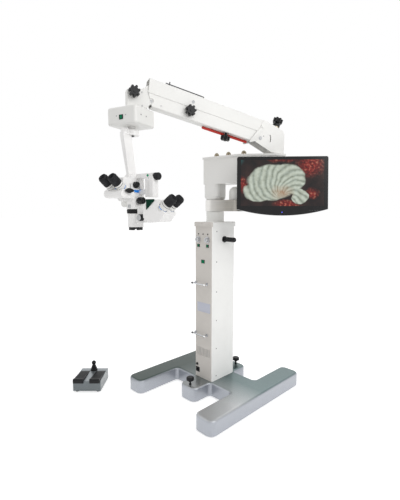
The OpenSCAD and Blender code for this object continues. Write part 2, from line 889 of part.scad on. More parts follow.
module monitor_case() {
  color("black") in_screen() difference() {
    union() {
      rotate([90, 0, 0]) translate([0, 0, -14]) linear_extrude(14)
        monitor_outline(monitor_width, monitor_height, chin_drop);
      rotate([90, 0, 0]) translate([0, 0, -24]) linear_extrude(12)
        monitor_outline(monitor_width - 24, monitor_height - 24, chin_drop);
      translate([0, monitor_depth / 2 + 6, 0])
        cube([monitor_width * 0.62, monitor_depth - 12, monitor_height * 0.66], center = true);
      for (i = [-1, 1]) translate([i * (yoke_width / 2 + 5), 0, 0]) {
        translate([0, (monitor_depth + tilt_setback) / 2 - 4, 0])
          cube([10, tilt_setback - monitor_depth + 8, 40], center = true);
        translate([0, tilt_setback + 0.3, 0]) rotate([0, 90, 0]) cylinder(h = 10, r = 15, center = true);
      }
    }
    translate([0, tilt_setback + 0.3, 0]) rotate([0, 90, 0])
      cylinder(h = yoke_width + 30, r = yoke_rod_r + running_fit, center = true);
    cube([screen_width, 4, screen_height], center = true);
  }
}

module monitor_screen() {
  color("darkslategray") in_screen() translate([0, 1.25, 0])
    cube([screen_width - 0.4, 1.5, screen_height - 0.4], center = true);
}

// Horizontal arm

module swing_outline(w) {
  p = [rear_along, rear_across];
  r = swing_end_r - w;
  n = neck_half - w;
  corner_r = 14;
  front = [swing_front, -n];
  back = [-n, n];
  difference() {
    union() {
      translate(p) circle(r);
      polygon([[-n, -n], front, tangent(front, p, r, 1), p, tangent(back, p, r, -1), back]);
    }
    for (j = [-1, 1]) translate([-n, j * n]) square(2 * corner_r, center = true);
  }
  for (j = [-1, 1]) translate([-n + corner_r, j * (n - corner_r)]) circle(corner_r);
}

module swing_arm() {
  color("whitesmoke") in_swing() difference() {
    union() {
      translate([0, 0, swing_bottom]) difference() {
        linear_extrude(swing_height) swing_outline(0);
        translate([0, 0, 8]) linear_extrude(swing_height) swing_outline(swing_wall);
      }
      translate([rear_along, rear_across, swing_bottom + 1]) cylinder(h = swing_height - 6, r = 34);
      translate([0, 0, neck_bottom]) rounded_bar(2 * neck_half, 2 * neck_half, neck_height + 9, 34);
      translate([0, 0, flange_bottom]) cylinder(h = flange_height * 0.7, r1 = 55, r2 = flange_r);
      translate([0, 0, flange_bottom + flange_height * 0.7 - 0.01])
        button(flange_r, flange_height * 0.3 + 0.01, 3);
    }
    translate([0, 0, flange_bottom - cut_over])
      cylinder(h = shaft_rise - monitor_arm_height, r = shaft_r + running_fit);
    translate([rear_along, rear_across, lid_bottom - rear_spigot_depth - 1])
      cylinder(h = rear_spigot_depth + 2, r = rear_spigot_r + running_fit);
  }
}

module swing_lid() {
  color("gainsboro") in_swing() translate([0, 0, lid_bottom]) difference() {
    linear_extrude(lid_thickness) swing_outline(-lid_overhang);
    translate([rear_along, rear_across, -cut_over])
      cylinder(h = lid_thickness + 2 * cut_over, r = rear_spigot_r + 1);
  }
}

module dome_nuts() {
  color("dimgray") in_swing() for (i = [0:2])
    translate([nut_alongs[i], nut_acrosses[i], lid_top]) {
      cylinder(h = 3, r = dome_nut_r);
      button(dome_nut_r * 0.82, dome_nut_r * 0.95, dome_nut_r * 0.8);
    }
}

// Spring arm

module bracket_side(grow) {
  polygon([[rear_pin_back - 23, 104], [30, 77], [-29, 52], [-38, 35], [-38, -74 + grow], [51, -74 + grow],
    [rear_pin_back + 32, -22], [rear_pin_back + 30, -5], [rear_pin_back + 9, 40]]);
}

module rear_bracket() {
  color("whitesmoke") in_arm() {
    difference() {
      translate([0, 0, rear_pin_rise]) arm_plate(fork_outer) bracket_side(0);
      translate([0, 0, rear_pin_rise]) arm_plate(fork_inner)
        polygon([[54, 140], [46, 60], [46, -60], [90, -75], [220, -75], [220, 140]]);
      translate([0, -rear_pin_back, rear_pin_rise]) rotate([0, 90, 0])
        cylinder(h = 3 * fork_outer, r = pin_r + running_fit, center = true);
      translate([0, -rear_pin_back + pin_offset, rear_pin_rise + pin_gap]) rotate([0, 90, 0])
        cylinder(h = 3 * fork_outer, r = pin_r + running_fit, center = true);
      translate([0, -rear_pin_back, rear_pin_rise]) rotate([0, 90, 0]) difference() {
        cylinder(h = 3 * fork_outer, r = 74, center = true);
        cylinder(h = 3 * fork_outer + 2, r = 67, center = true);
        translate([-22, -100, -100]) mirror([1, 0, 0]) cube([200, 200, 200]);
        translate([18, -100, -100]) cube([200, 200, 200]);
        translate([-100, -200, -100]) cube([200, 200, 200]);
      }
      translate([0, -5, rear_pin_rise + 67]) rotate([-22, 0, 0]) translate([0, 0, -40])
        cylinder(h = 60, r = 8 + running_fit);
    }
    translate([0, 0, lid_top + face_gap]) cylinder(h = 12, r = 45);
    translate([0, 0, lid_bottom - rear_spigot_depth]) cylinder(h = rear_spigot_depth + lid_thickness + 4, r = rear_spigot_r);
  }
}

module tension_knob() {
  color("black") in_arm() translate([0, -5, rear_pin_rise + 67]) rotate([-22, 0, 0]) {
    translate([0, 0, 1.5]) cylinder(h = 24, r = 22);
    translate([0, 0, 1.5]) star_knob(star_r, star_height + 4, 12, 38);
    translate([0, 0, -30]) cylinder(h = 34, r = 8);
  }
}

module pin_cap(x, r) {
  for (i = [-1, 1]) translate([i * (x + cap_rise / 2 + face_gap / 2), 0, 0]) rotate([0, 90, 0])
    cylinder(h = cap_rise, r = r, center = true);
}

module link_bar(y, z, back_half, front_half) {
  translate([0, y, z]) {
    translate([-link_width / 2, -link_length, -link_height / 2]) cube([link_width, link_length, link_height]);
    for (p = [[0, back_half], [-link_length, front_half]]) translate([0, p[0], 0]) rotate([0, 90, 0]) {
      cylinder(h = link_width, r = link_height / 2, center = true);
      cylinder(h = 2 * p[1], r = pin_r, center = true);
    }
    pin_cap(fork_outer, cap_r);
  }
}

module upper_link() {
  color("gray") in_link() {
    link_bar(upper_pin_along, upper_pin_up, fork_outer + 2, front_bracket_width / 2);
    for (y = [-120, -link_length + 120])
      translate([0, y, upper_pin_up + 8]) cube([cover_width - 2 * cover_wall, 20, 18], center = true);
  }
}

module lower_link() {
  color("gray") in_link() {
    link_bar(0, 0, fork_outer + 2, front_bracket_width / 2);
    for (y = [-120, -link_length + 120])
      translate([0, y, -4]) cube([lower_width - 2 * cover_wall, 20, 18], center = true);
  }
}

module upper_cover_side() {
  polygon([[-1.4, cover_top_up], [17, seam_up], [link_length + 24, seam_up],
    [link_length + 29, cover_top_up]]);
}

module lower_cover_side(grow) {
  polygon([[12 - grow, seam_up + 10], [17 - grow, seam_up], [59 - grow, cover_bottom_up],
    [link_length - 8 + grow, cover_bottom_up], [link_length + 23 + grow, seam_up],
    [link_length + 23 + grow, seam_up + 10]]);
}

module upper_cover() {
  h = cover_top_up - seam_up;
  color("whitesmoke") in_link() difference() {
    intersection() {
      translate([0, 10, 0]) rotate([90, 0, 0]) linear_extrude(link_length + 60) {
        translate([0, cover_top_up - 15]) rounded_rect(cover_width, 30, 6);
        translate([-cover_width / 2, seam_up]) square([cover_width, h - 15]);
      }
      arm_plate(cover_width) upper_cover_side();
    }
    translate([-cover_width / 2 + cover_wall, -link_length - 60, seam_up - cut_over])
      cube([cover_width - 2 * cover_wall, link_length + 80, h - cover_wall + cut_over]);
  }
}

module lower_cover() {
  h = seam_up - cover_bottom_up + 10;
  color("gainsboro") in_link() difference() {
    intersection() {
      translate([0, 10, 0]) rotate([90, 0, 0]) linear_extrude(link_length + 60) {
        translate([0, cover_bottom_up + 15]) rounded_rect(lower_width, 30, 5);
        translate([-lower_width / 2, cover_bottom_up + 15]) square([lower_width, h - 15]);
      }
      arm_plate(cover_width) lower_cover_side(0);
    }
    translate([-lower_width / 2 + cover_wall, -link_length - 60, cover_bottom_up + cover_wall])
      cube([lower_width - 2 * cover_wall, link_length + 80, h]);
    translate([0, -link_length, 0]) rotate([0, 90, 0]) cylinder(h = 80, r = 12, center = true);
  }
}

module stroke_rod() {
  color("firebrick") in_link() translate([-8, -62, cover_bottom_up - stroke_rod_r]) {
    rotate([90, 0, 0]) cylinder(h = stroke_rod_length, r = stroke_rod_r);
    translate([0, -stroke_rod_length, 0]) sphere(stroke_rod_r);
  }
}

module lock_knob() {
  color("black") in_link() translate([lower_width / 2 + face_gap, -447, 14]) rotate([0, 90, 0])
    star_knob(star_r, star_height, 7, 9);
}

module stroke_knob() {
  color("black") in_link() translate([12, -207, cover_bottom_up - face_gap]) rotate([180, 0, 0])
    star_knob(star_r * 0.92, star_height, 6, 18);
}

module front_bracket() {
  fork_cheek = 8;
  color("whitesmoke") in_arm() translate([0, -front_pin_back, front_pin_rise]) difference() {
    translate([0, 0, 0]) union() {
      arm_plate(front_bracket_width / 2) {
        polygon([[-12, 12], [-26, 74], [0, 82], [46, 55], [120, 44], [121, -39], [20, -37], [8, -18],
          [-8, -14]]);
        circle(18);
        translate([-pin_offset, pin_gap]) circle(18);
      }
      translate([0, -97.4, -39]) cylinder(h = 83, r = front_bracket_width / 2);
    }
    arm_plate(front_bracket_width / 2 - fork_cheek)
      polygon([[-60, -60], [60, -60], [60, 100], [-60, 100]]);
    for (p = [[0, 0], [pin_offset, pin_gap]]) translate([0, p[0], p[1]]) rotate([0, 90, 0])
      cylinder(h = 90, r = p[0] == 0 ? pin_r + 0.6 : pin_r + running_fit, center = true);
    translate([0, -arm_reach + front_pin_back, -40]) cylinder(h = 78, r = head_shaft_r + running_fit);
  }
}

module front_knob() {
  color("black") in_arm() translate([front_bracket_width / 2 + face_gap, -arm_reach + front_knob_back, front_pin_rise + front_knob_up])
    rotate([0, 90, 0]) star_knob(star_r, star_height, pin_r, star_stem);
}

// Head box and drop arm

module head_box() {
  color("whitesmoke") in_box() difference() {
    union() {
      translate([0, 0, box_top - box_height / 2]) soft_box(box_width, box_depth, box_height, box_edge + 3, box_edge);
      translate([0, 0, box_top - 1]) cylinder(h = 7, r = 20);
      translate([0, 0, box_top - 1]) cylinder(h = 82, r = head_shaft_r);
    }
    translate([0, 0, head_box_bottom - cut_over]) cylinder(h = 46, r = scope_neck_r + running_fit);
    translate([0, -box_depth / 2, box_top - box_height * rocker_drop_share]) cube([14.4, 24, 18], center = true);
  }
}

module head_rocker() {
  color("darkgreen") in_box() translate([0, -box_depth / 2 + 1, box_top - box_height * rocker_drop_share])
    rocker(13.8, 16.8, 3.5);
}

module drop_arm() {
  pin_z = tilt_rise;
  top_z = boss_bottom + 2;
  color("whitesmoke") in_scope() {
    translate([0, 0, boss_top - 1]) cylinder(h = 55, r = scope_neck_r);
    translate([0, 0, boss_bottom]) button(boss_r, boss_height, 4);
    translate([-drop_width / 2 - 4, -drop_top_offset - drop_depth / 2, boss_bottom])
      rounded_foot(drop_width + 8, drop_top_offset + drop_depth / 2, boss_height);
    intersection() {
      rotate([90, 0, 90]) linear_extrude(2 * drop_width, center = true)
        polygon([[-drop_top_offset - drop_depth / 2, top_z + 8], [-drop_top_offset - drop_depth / 2, top_z - 12],
          [-drop_foot_offset - drop_depth / 2, pin_z + 20], [-drop_foot_offset - drop_depth / 2, pin_z],
          [-drop_foot_offset + drop_depth / 2, pin_z], [-drop_foot_offset + drop_depth / 2, pin_z + 20],
          [-drop_top_offset + drop_depth / 2, top_z - 12], [-drop_top_offset + drop_depth / 2, top_z + 8]]);
      translate([0, 60, 0]) rotate([90, 0, 0]) linear_extrude(200)
        polygon([[-drop_width / 2, top_z + 8], [-drop_foot_width / 2, pin_z + cheek_r + 4],
          [-drop_foot_width / 2, pin_z], [drop_foot_width / 2, pin_z],
          [drop_foot_width / 2, pin_z + cheek_r + 4], [drop_width / 2, top_z + 8]]);
    }
    translate([0, -drop_foot_offset, pin_z]) rotate([0, 90, 0]) {
      cylinder(h = drop_foot_width, r = drop_depth / 2, center = true);
      cylinder(h = drop_foot_width + 30, r = 8, center = true);
    }
  }
}

module rounded_foot(w, d, h) {
  linear_extrude(h) {
    translate([w / 2, w / 2]) circle(w / 2);
    translate([0, w / 2]) square([w, d - w / 2]);
  }
}

// Microscope

module tilt_cheeks() {
  for (i = [-1, 1]) translate([i * (drop_foot_width / 2 + 8.5), 0, 0]) {
    translate([-8, -drop_foot_offset - optic_back - 30, body_top - 1]) cube([16, 60, tilt_rise - body_top + 1]);
    translate([0, -drop_foot_offset - optic_back, tilt_rise]) rotate([0, 90, 0])
      cylinder(h = 16, r = cheek_r, center = true);
  }
}

module scope_body() {
  color("whitesmoke") in_optic() difference() {
    union() {
      translate([0, 0, barrel_bottom]) cylinder(h = barrel_height, r = barrel_r);
      translate([0, 0, ring_bottom - 1]) cylinder(h = ring_height + 2, r = barrel_r - 5);
      translate([0, 0, body_bottom]) rounded_bar(body_width, body_width + 12, body_height, 18);
      translate([0, 0, barrel_bottom + 24]) port_block();
      tilt_cheeks();
    }
    translate([0, 0, barrel_bottom - cut_over]) cylinder(h = body_bottom - barrel_bottom + 60, r = 26);
    translate([0, -drop_foot_offset - optic_back, tilt_rise]) rotate([0, 90, 0])
      cylinder(h = 100, r = 8 + running_fit, center = true);
    translate([port_x - 30, 0, port_rise]) rotate([0, 90, 0]) cylinder(h = 40, r = 14 + running_fit);
    translate([port_x - 14, -10, port_rise - 20]) rotate([90, 0, 0]) cylinder(h = 30, r = 6 + running_fit);
    translate([-20, -body_width / 2 - 8, binocular_port]) rotate([90, 0, 0])
      translate([20, 0, -30]) cylinder(h = 60, r = 15 + running_fit);
  }
}

module port_block() {
  difference() {
    union() {
      translate([0, -24, 0]) cube([port_x, 48, 86]);
      translate([0, 0, port_rise - barrel_bottom - 24]) rotate([0, 90, 0]) cylinder(h = port_x, r = 24);
    }
    translate([0, 0, ring_bottom - barrel_bottom - 24]) cylinder(h = ring_height, r = ring_r + 2);
  }
}

module lamp_house() {
  color("whitesmoke") in_optic() difference() {
    union() {
      translate([25, -13, tilt_rise + 6]) cube([113, 26, 22]);
      translate([26, 0, tilt_rise + 17]) rotate([0, 90, 0]) cylinder(h = 112, r = 13);
      translate([97, 6, body_bottom + 60]) rounded_bar(30, 36, tilt_rise + 8 - body_bottom - 60, 6);
      translate([132, 0, body_bottom + 58]) rounded_bar(34, 40, tilt_rise + 12 - body_bottom - 58, 9);
      translate([body_width / 2, -7, body_bottom + 74]) cube([54, 24, 24]);
      translate([25, -6, body_top]) cube([20, 26, tilt_rise - body_top + 20]);
    }
    translate([25, -20, tilt_rise - 4]) cube([6, 12, 8]);
  }
}

module magnification_ring() {
  color("black") in_optic() translate([0, 0, ring_bottom + face_gap]) difference() {
    union() {
      cylinder(h = ring_height - 2 * face_gap, r = ring_r - 1.5);
      for (i = [0:17]) rotate([0, 0, 20 * i]) translate([ring_r - 5, 0, 2])
        cylinder(h = ring_height - 2 * face_gap - 4, r = 5);
    }
    translate([0, 0, -cut_over]) cylinder(h = ring_height + 2 * cut_over, r = barrel_r - 5 + running_fit);
  }
}

module objective_cell() {
  color("black") in_optic() translate([0, 0, objective_rise]) difference() {
    cylinder(h = objective_height, r = objective_r);
    translate([0, 0, -cut_over]) cylinder(h = objective_height + 2 * cut_over, r = objective_r - 9);
    for (i = [0:3]) rotate([0, 0, 45 * i]) translate([-objective_r - 1, -5, -cut_over])
      cube([2 * objective_r + 2, 10, 6 + cut_over]);
  }
}

module focus_knob() {
  color("black") in_optic() translate([port_x - 14, -24 - face_gap, port_rise - 20]) rotate([90, 0, 0]) {
    button(17, 20, 3);
    translate([0, 0, 19]) cylinder(h = 3, r = 13);
    translate([0, 0, -12]) cylinder(h = 14, r = 6);
  }
}

module scope_knobs() {
  color("black") in_optic() {
    translate([drop_foot_width / 2 + 16.5, -drop_foot_offset - optic_back, tilt_rise - 26]) rotate([0, 90, 0])
      button(15, 20, 4);
    translate([wing_x, -body_width / 2 - 6 - face_gap, body_top - 9]) rotate([90, 0, 0]) {
      cylinder(h = 7, r = 5);
      translate([0, 0, 6]) rounded_bar(wing_width, 15, 7.7, 7);
    }
    translate([body_width / 2, -16, body_bottom + 42]) rotate([0, 90, 0]) {
      cylinder(h = 12, r = 9);
      translate([0, 0, 11]) button(17, 34, 5);
    }
  }
}

// Binoculars, drawn with the eye line rising towards -Y from the prism drum

module in_eye(side) {
  translate([side * pupil_gap / 2, -eye_base_out, eye_base_up]) rotate([90 - eye_slope, 0, 0]) children();
}

module in_assistant() {
  translate([port_x + 16, 0, port_rise + 6]) rotate([0, 0, 90 + assist_yaw]) children();
}

module binocular_body() {
  color("whitesmoke") in_optic() difference() {
    union() {
      translate([0, -drum_out, drum_up]) rotate([0, 90, 0])
        cylinder(h = drum_width, r = drum_r, center = true);
      translate([-drum_width / 2 + 8, -drum_out, drum_up - drum_r])
        cube([drum_width - 16, drum_out - hood_back, 34]);
      translate([0, -body_width / 2 - 6 - face_gap, binocular_port]) rotate([90, 0, 0])
        cylinder(h = 60, r = 24);
      translate([0, -body_width / 2 + 8, binocular_port]) rotate([90, 0, 0]) cylinder(h = 60, r = 15);
      for (i = [-1, 1]) in_eye(i) translate([0, 0, -26]) cylinder(h = 24, r = ocular_r + 2);
      rotate([90, 0, 90]) linear_extrude(hood_width, center = true)
        polygon([[-hood_back - 12, drum_up - 10], [-hood_back - 12, body_top + 20], [-hood_back, hood_top - 14],
          [-hood_back, hood_top], [-hood_front, hood_top], [-hood_front - 4, hood_top - 6], [-drum_out + 10, drum_up]]);
    }
    for (i = [-1, 1]) in_eye(i) {
      translate([0, 0, -14]) cylinder(h = 40, r = tube_bore_r + running_fit);
      translate([0, 0, -2]) cylinder(h = 140, r = ocular_r + 3);
    }
  }
}

module ocular_tube() {
  difference() {
    union() {
      cylinder(h = ocular_length - 10, r = ocular_r);
      translate([0, 0, -13]) cylinder(h = 14, r = tube_bore_r);
      translate([0, 0, ocular_length - 11]) cylinder(h = 14, r = ocular_r - 6);
    }
    translate([0, 0, -14]) cylinder(h = ocular_length + 20, r = 12);
  }
}

module eyecup() {
  translate([0, 0, ocular_length - 10 + face_gap]) difference() {
    union() {
      cylinder(h = eyecup_length - 8, r = eyecup_r);
      translate([0, 0, eyecup_length - 9]) cylinder(h = 9, r1 = eyecup_r, r2 = eyecup_r - 4);
    }
    translate([0, 0, -cut_over]) cylinder(h = 14 + cut_over, r = ocular_r - 6 + running_fit);
    cylinder(h = eyecup_length, r = 12);
    translate([0, 0, eyecup_length - 10]) cylinder(h = 11, r1 = 12, r2 = 18);
  }
}

module main_left_tube() {
  color("whitesmoke") in_optic() in_eye(-1) ocular_tube();
}

module main_right_tube() {
  color("whitesmoke") in_optic() in_eye(1) ocular_tube();
}

module main_left_eyecup() {
  color("black") in_optic() in_eye(-1) eyecup();
}

module main_right_eyecup() {
  color("black") in_optic() in_eye(1) eyecup();
}

module in_assist_eye(side) {
  in_optic() in_assistant() translate([side * pupil_gap / 2, -assist_out, assist_up])
    rotate([90 - eye_slope, 0, 0]) children();
}

module assistant_body() {
  color("whitesmoke") difference() {
    union() {
      in_optic() translate([port_x + face_gap, 0, port_rise]) rotate([0, 90, 0]) {
        cylinder(h = 16, r = 20);
        translate([0, 0, -28]) cylinder(h = 40, r = 14);
      }
      in_optic() in_assistant() rotate([90, 0, 90]) linear_extrude(assist_width, center = true)
        polygon([[0, -26], [0, 32], [-14, 46], [-46, 60], [-80, 62], [-assist_out + 3, 38], [-assist_out - 22, 6],
          [-assist_out - 30, -6], [-92, -46], [-38, -50]]);
      for (i = [-1, 1]) in_assist_eye(i) translate([0, 0, -26]) cylinder(h = 24, r = ocular_r + 2);
    }
    for (i = [-1, 1]) in_assist_eye(i) {
      translate([0, 0, -14]) cylinder(h = 40, r = tube_bore_r + running_fit);
      translate([0, 0, -2]) cylinder(h = 90, r = ocular_r + 3);
    }
  }
}

module assistant_left_tube() {
  color("whitesmoke") in_assist_eye(-1) ocular_tube();
}

module assistant_right_tube() {
  color("whitesmoke") in_assist_eye(1) ocular_tube();
}

module assistant_left_eyecup() {
  color("black") in_assist_eye(-1) eyecup();
}

module assistant_right_eyecup() {
  color("black") in_assist_eye(1) eyecup();
}

// Foot switch

module pedal_places() {
  for (i = [-1, 1]) translate([i * pedal_spacing / 2, 0, 0]) children();
}

module foot_case() {
  color("gray") in_foot() difference() {
    union() {
      rotate([90, 0, 90]) linear_extrude(foot_width, center = true)
        polygon([[-foot_depth / 2, foot_pad_height], [foot_depth / 2, foot_pad_height],
          [foot_depth / 2, foot_height - foot_edge], [foot_depth / 2 - foot_edge, foot_height],
          [-foot_depth / 2 + foot_edge, foot_height], [-foot_depth / 2, foot_height - foot_edge]]);
      for (i = [-1, 1], j = [-1, 1]) translate([i * (foot_width / 2 - 22), j * (foot_depth / 2 - 18), 0])
        cylinder(h = foot_pad_height + 1, r = 9);
    }
    pedal_places() {
      translate([-pedal_width / 2 - 1, -foot_depth / 2 + front_wall, pocket_floor])
        cube([pedal_width + 2, foot_depth / 2 - front_wall + pedal_hinge_y + 8, foot_height]);
      translate([-pedal_width / 2 - 1, -foot_depth / 2 - cut_over, front_wall_top])
        cube([pedal_width + 2, foot_depth / 2, foot_height]);
      translate([0, pedal_hinge_y, pedal_hinge_up]) rotate([0, 90, 0])
        cylinder(h = pedal_width + 13, r = pedal_pin_r + running_fit, center = true);
    }
    translate([0, stick_y, stick_pivot_up - 10]) cylinder(h = foot_height, r = stick_bore_r + running_fit);
    translate([0, stick_y, foot_height - boot_recess]) cylinder(h = foot_height, r = boot_r + 2);
  }
}

module pedal() {
  rotate([90, 0, 90]) linear_extrude(pedal_width, center = true) {
    polygon([[pedal_hinge_y + pedal_pin_r, foot_height], [pedal_hinge_y + pedal_pin_r * 1.4, pedal_hinge_up - pedal_pin_r],
      [pedal_hinge_y - pedal_pin_r * 2, pedal_hinge_up - pedal_pin_r * 1.4],
      [-foot_depth / 2, lip_top - lip_depth], [-foot_depth / 2 - lip_gap, lip_bottom + lip_round],
      [-foot_depth / 2 - lip_round, lip_bottom], [-foot_depth / 2 - lip_depth + lip_round, lip_bottom],
      [-foot_depth / 2 - lip_depth, lip_bottom + lip_round], [-foot_depth / 2 - lip_depth, lip_top - 2 * lip_round],
      [-foot_depth / 2 - lip_depth + lip_round, lip_top], [-foot_depth / 2 - lip_round, lip_top],
      [-foot_depth / 2 + lip_round, lip_top - lip_round]]);
  }
  translate([0, pedal_hinge_y, pedal_hinge_up]) rotate([0, 90, 0])
    cylinder(h = pedal_width + 12, r = pedal_pin_r, center = true);
}

module left_pedal() {
  color("black") in_foot() translate([-pedal_spacing / 2, 0, 0]) pedal();
}

module right_pedal() {
  color("black") in_foot() translate([pedal_spacing / 2, 0, 0]) pedal();
}

module joystick() {
  color("black") in_foot() translate([0, stick_y, stick_pivot_up]) {
    sphere(stick_bore_r);
    cylinder(h = foot_height - stick_pivot_up, r = stick_bore_r - 2);
    translate([0, 0, foot_height - stick_pivot_up - 1]) cylinder(h = 40, r1 = boot_r, r2 = 10);
    translate([0, 0, stick_ball_up - stick_pivot_up - 24]) cylinder(h = 14, r = 8);
    translate([0, 0, stick_ball_up - stick_pivot_up]) sphere(stick_ball_r);
  }
}

base_frame();
front_jack();
rear_jack();
front_left_caster();
front_right_caster();
rear_left_caster();
rear_right_caster();
column_shell();
column_cap();
stand_post();
cable_rails();
mains_inlet();
push_handle();
left_dial();
right_dial();
left_rocker();
right_rocker();
main_rocker();
monitor_arm();
monitor_post();
monitor_yoke();
monitor_case();
monitor_screen();
swing_arm();
swing_lid();
dome_nuts();
rear_bracket();
tension_knob();
upper_link();
upper_cover();
lower_link();
lower_cover();
stroke_rod();
lock_knob();
stroke_knob();
front_bracket();
front_knob();
head_box();
head_rocker();
drop_arm();
scope_body();
lamp_house();
magnification_ring();
objective_cell();
focus_knob();
scope_knobs();
binocular_body();
main_left_tube();
main_right_tube();
main_left_eyecup();
main_right_eyecup();
assistant_body();
assistant_left_tube();
assistant_right_tube();
assistant_left_eyecup();
assistant_right_eyecup();
foot_case();
left_pedal();
right_pedal();
joystick();
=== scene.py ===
"""Finishes, small fittings, floor and light of a surgical microscope on a mobile floor stand."""

import bpy
import bmesh
import json
import math
from mathutils import Matrix, Vector


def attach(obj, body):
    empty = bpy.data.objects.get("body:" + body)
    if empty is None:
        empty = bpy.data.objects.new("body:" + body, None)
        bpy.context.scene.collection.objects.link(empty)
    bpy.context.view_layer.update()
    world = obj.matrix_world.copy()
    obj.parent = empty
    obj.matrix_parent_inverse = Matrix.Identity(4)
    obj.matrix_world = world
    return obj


bl_info = {
    "name": "Surgical Microscope",
    "version": (1, 0, 0),
    "blender": (4, 5, 0),
    "location": "View3D > Sidebar > Microscope",
    "description": "Dresses the microscope's solids and builds its studio",
    "category": "Object",
}

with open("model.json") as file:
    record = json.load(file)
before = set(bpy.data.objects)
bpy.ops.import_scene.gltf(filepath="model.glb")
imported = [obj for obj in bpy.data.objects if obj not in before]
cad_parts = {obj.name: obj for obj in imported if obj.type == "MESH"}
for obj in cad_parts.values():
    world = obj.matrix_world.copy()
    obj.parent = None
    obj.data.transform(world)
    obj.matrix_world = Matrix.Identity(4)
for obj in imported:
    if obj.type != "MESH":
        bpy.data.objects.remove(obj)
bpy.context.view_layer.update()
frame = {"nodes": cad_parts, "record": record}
JOINTS = {j["name"]: j for j in frame["record"]["behaviour"]["joints"]}
MM = 0.001
SMOOTH_ANGLE = math.radians(35)


# Places of the moving parts, taken from the joints of the record

def joint_place(name):
    return Vector(JOINTS[name]["pos_m"])


def level_turn(name):
    """Turn about Z that brings +X onto the level axis of a joint."""
    axis = JOINTS[name]["axis"]
    return math.atan2(axis[1], axis[0])


def placed(point, turn=0.0, tilt=0.0):
    return Matrix.Translation(point) @ Matrix.Rotation(turn, 4, "Z") @ Matrix.Rotation(tilt, 4, "X")


def shifted(matrix, x=0.0, y=0.0, z=0.0):
    """matrix moved by millimetres along its own axes."""
    return matrix @ Matrix.Translation((x * MM, y * MM, z * MM))


def facing(matrix, direction):
    """matrix turned so that its +Z runs along one of its own axes, such as -Y."""
    turns = {
        "-Z": Matrix.Rotation(math.pi, 4, "X"),
        "-Y": Matrix.Rotation(math.pi / 2, 4, "X"),
        "+Y": Matrix.Rotation(-math.pi / 2, 4, "X"),
        "+X": Matrix.Rotation(math.pi / 2, 4, "Y"),
        "-X": Matrix.Rotation(-math.pi / 2, 4, "Y"),
    }
    return matrix @ turns[direction]


WORLD = Matrix.Identity(4)
SWING_TURN = math.radians(10)
SWING = placed((0, 0, 0), SWING_TURN)
ARM_TURN = level_turn("upper_arm_lift")
REAR_SWIVEL = joint_place("spring_arm_swivel")
ARM = placed((REAR_SWIVEL.x, REAR_SWIVEL.y, 0), ARM_TURN)
LOW_PIN = joint_place("lower_arm_lift")
ARM_SLOPE = math.atan2(133, 640)
LINK = placed(LOW_PIN, ARM_TURN, -ARM_SLOPE)
HEAD = joint_place("head_box_swivel")
BOX_TURN = level_turn("head_rocker_tilt")
BOX = placed((HEAD.x, HEAD.y, 0), BOX_TURN)
SCOPE_TURN = level_turn("scope_tilt")
OPTIC = shifted(placed((HEAD.x, HEAD.y, 0), SCOPE_TURN), y=16)
MONITOR_YAW = joint_place("monitor_yaw")
MONITOR_TURN = level_turn("monitor_tilt")
SCREEN = placed((MONITOR_YAW.x, MONITOR_YAW.y, 0), MONITOR_TURN)
SCREEN = SCREEN @ Matrix.Translation((0, -0.0941, 1.346)) @ Matrix.Rotation(math.radians(-5.6), 4, "X")
FOOT_TURN = level_turn("left_pedal_press")
FOOT = placed(joint_place("foot_switch_slide"), FOOT_TURN)
EYE_SLOPE = math.radians(39)
ASSISTANT = shifted(OPTIC, 102, 0, 1181) @ Matrix.Rotation(math.radians(100), 4, "Z")


# Places and sizes of the fittings, in millimetres along the frames above

COLUMN_SIDE, COLUMN_FACE = 76, 106
COLUMN_SCREW_HEIGHTS = (1061, 869, 677, 491, 305, 122)
SIDE_SCREW_Y, BACK_SCREW_X = -65, 66
PILOT_LAMPS, PILOT_HEIGHT = (-44, -3, 38), 1043
DIALS, DIAL_HEIGHT, DIAL_RISE = (-46, 34), 1008, 17.4
# x, z, half width, half height, reach to the left and to the right
SWITCH_OPENINGS = (
    (-46, 969, 6.4, 7.7, 9.4, 13.4), (34, 969, 6.4, 7.7, 9.4, 13.4), (-4, 868, 12.4, 9.7, 15, 15))
# x, z, half width, half height, rise
PLATE = (3, 570, 58, 31, 0.8)
# dark left collars and bright right collars: painted shade on the left ends and painted reflection on the right
# ends of the chrome rails
RAIL_ENDS = (("left", -76, "dark_metal"), ("right", 36, "bright_chrome"))
RAIL_HEIGHTS, RAIL_Y = (725, 391), -132
RAIL_COLLAR = ((0, -5), (6.4, -5), (6.4, 5), (5, 6.5), (0, 6.5))

# x, start, end, post, height of the cover under it
GUIDE_RAIL = (24, -597, -381, -577, 106.5)
COVER_HALF, LOWER_COVER_HALF, CHEEK_HALF, FRONT_HALF = 31, 28, 35.5, 24.5
RING_PLUG = (-436, 67)
LOWER_COVER_SCREWS = (-420, -600)
FRONT_SCREWS = ((-814, 1775), (-814, 1711))
CHEEK_TIP = ((-124, 1668), (-150, 1640), (-201, 1583), (-196, 1577), (-150, 1588), (-112, 1650))
KNOB_LEAN = math.radians(-22)
DOME_NUTS, DOME_FOOT = ((10.8, 0), (97.5, 0), (199.7, 10)), 1526
DOME_PROFILE = ((0, 0), (15.8, 0), (16.2, 9), (14.4, 17), (9.6, 23.6), (4.5, 26.6), (0, 27.2))

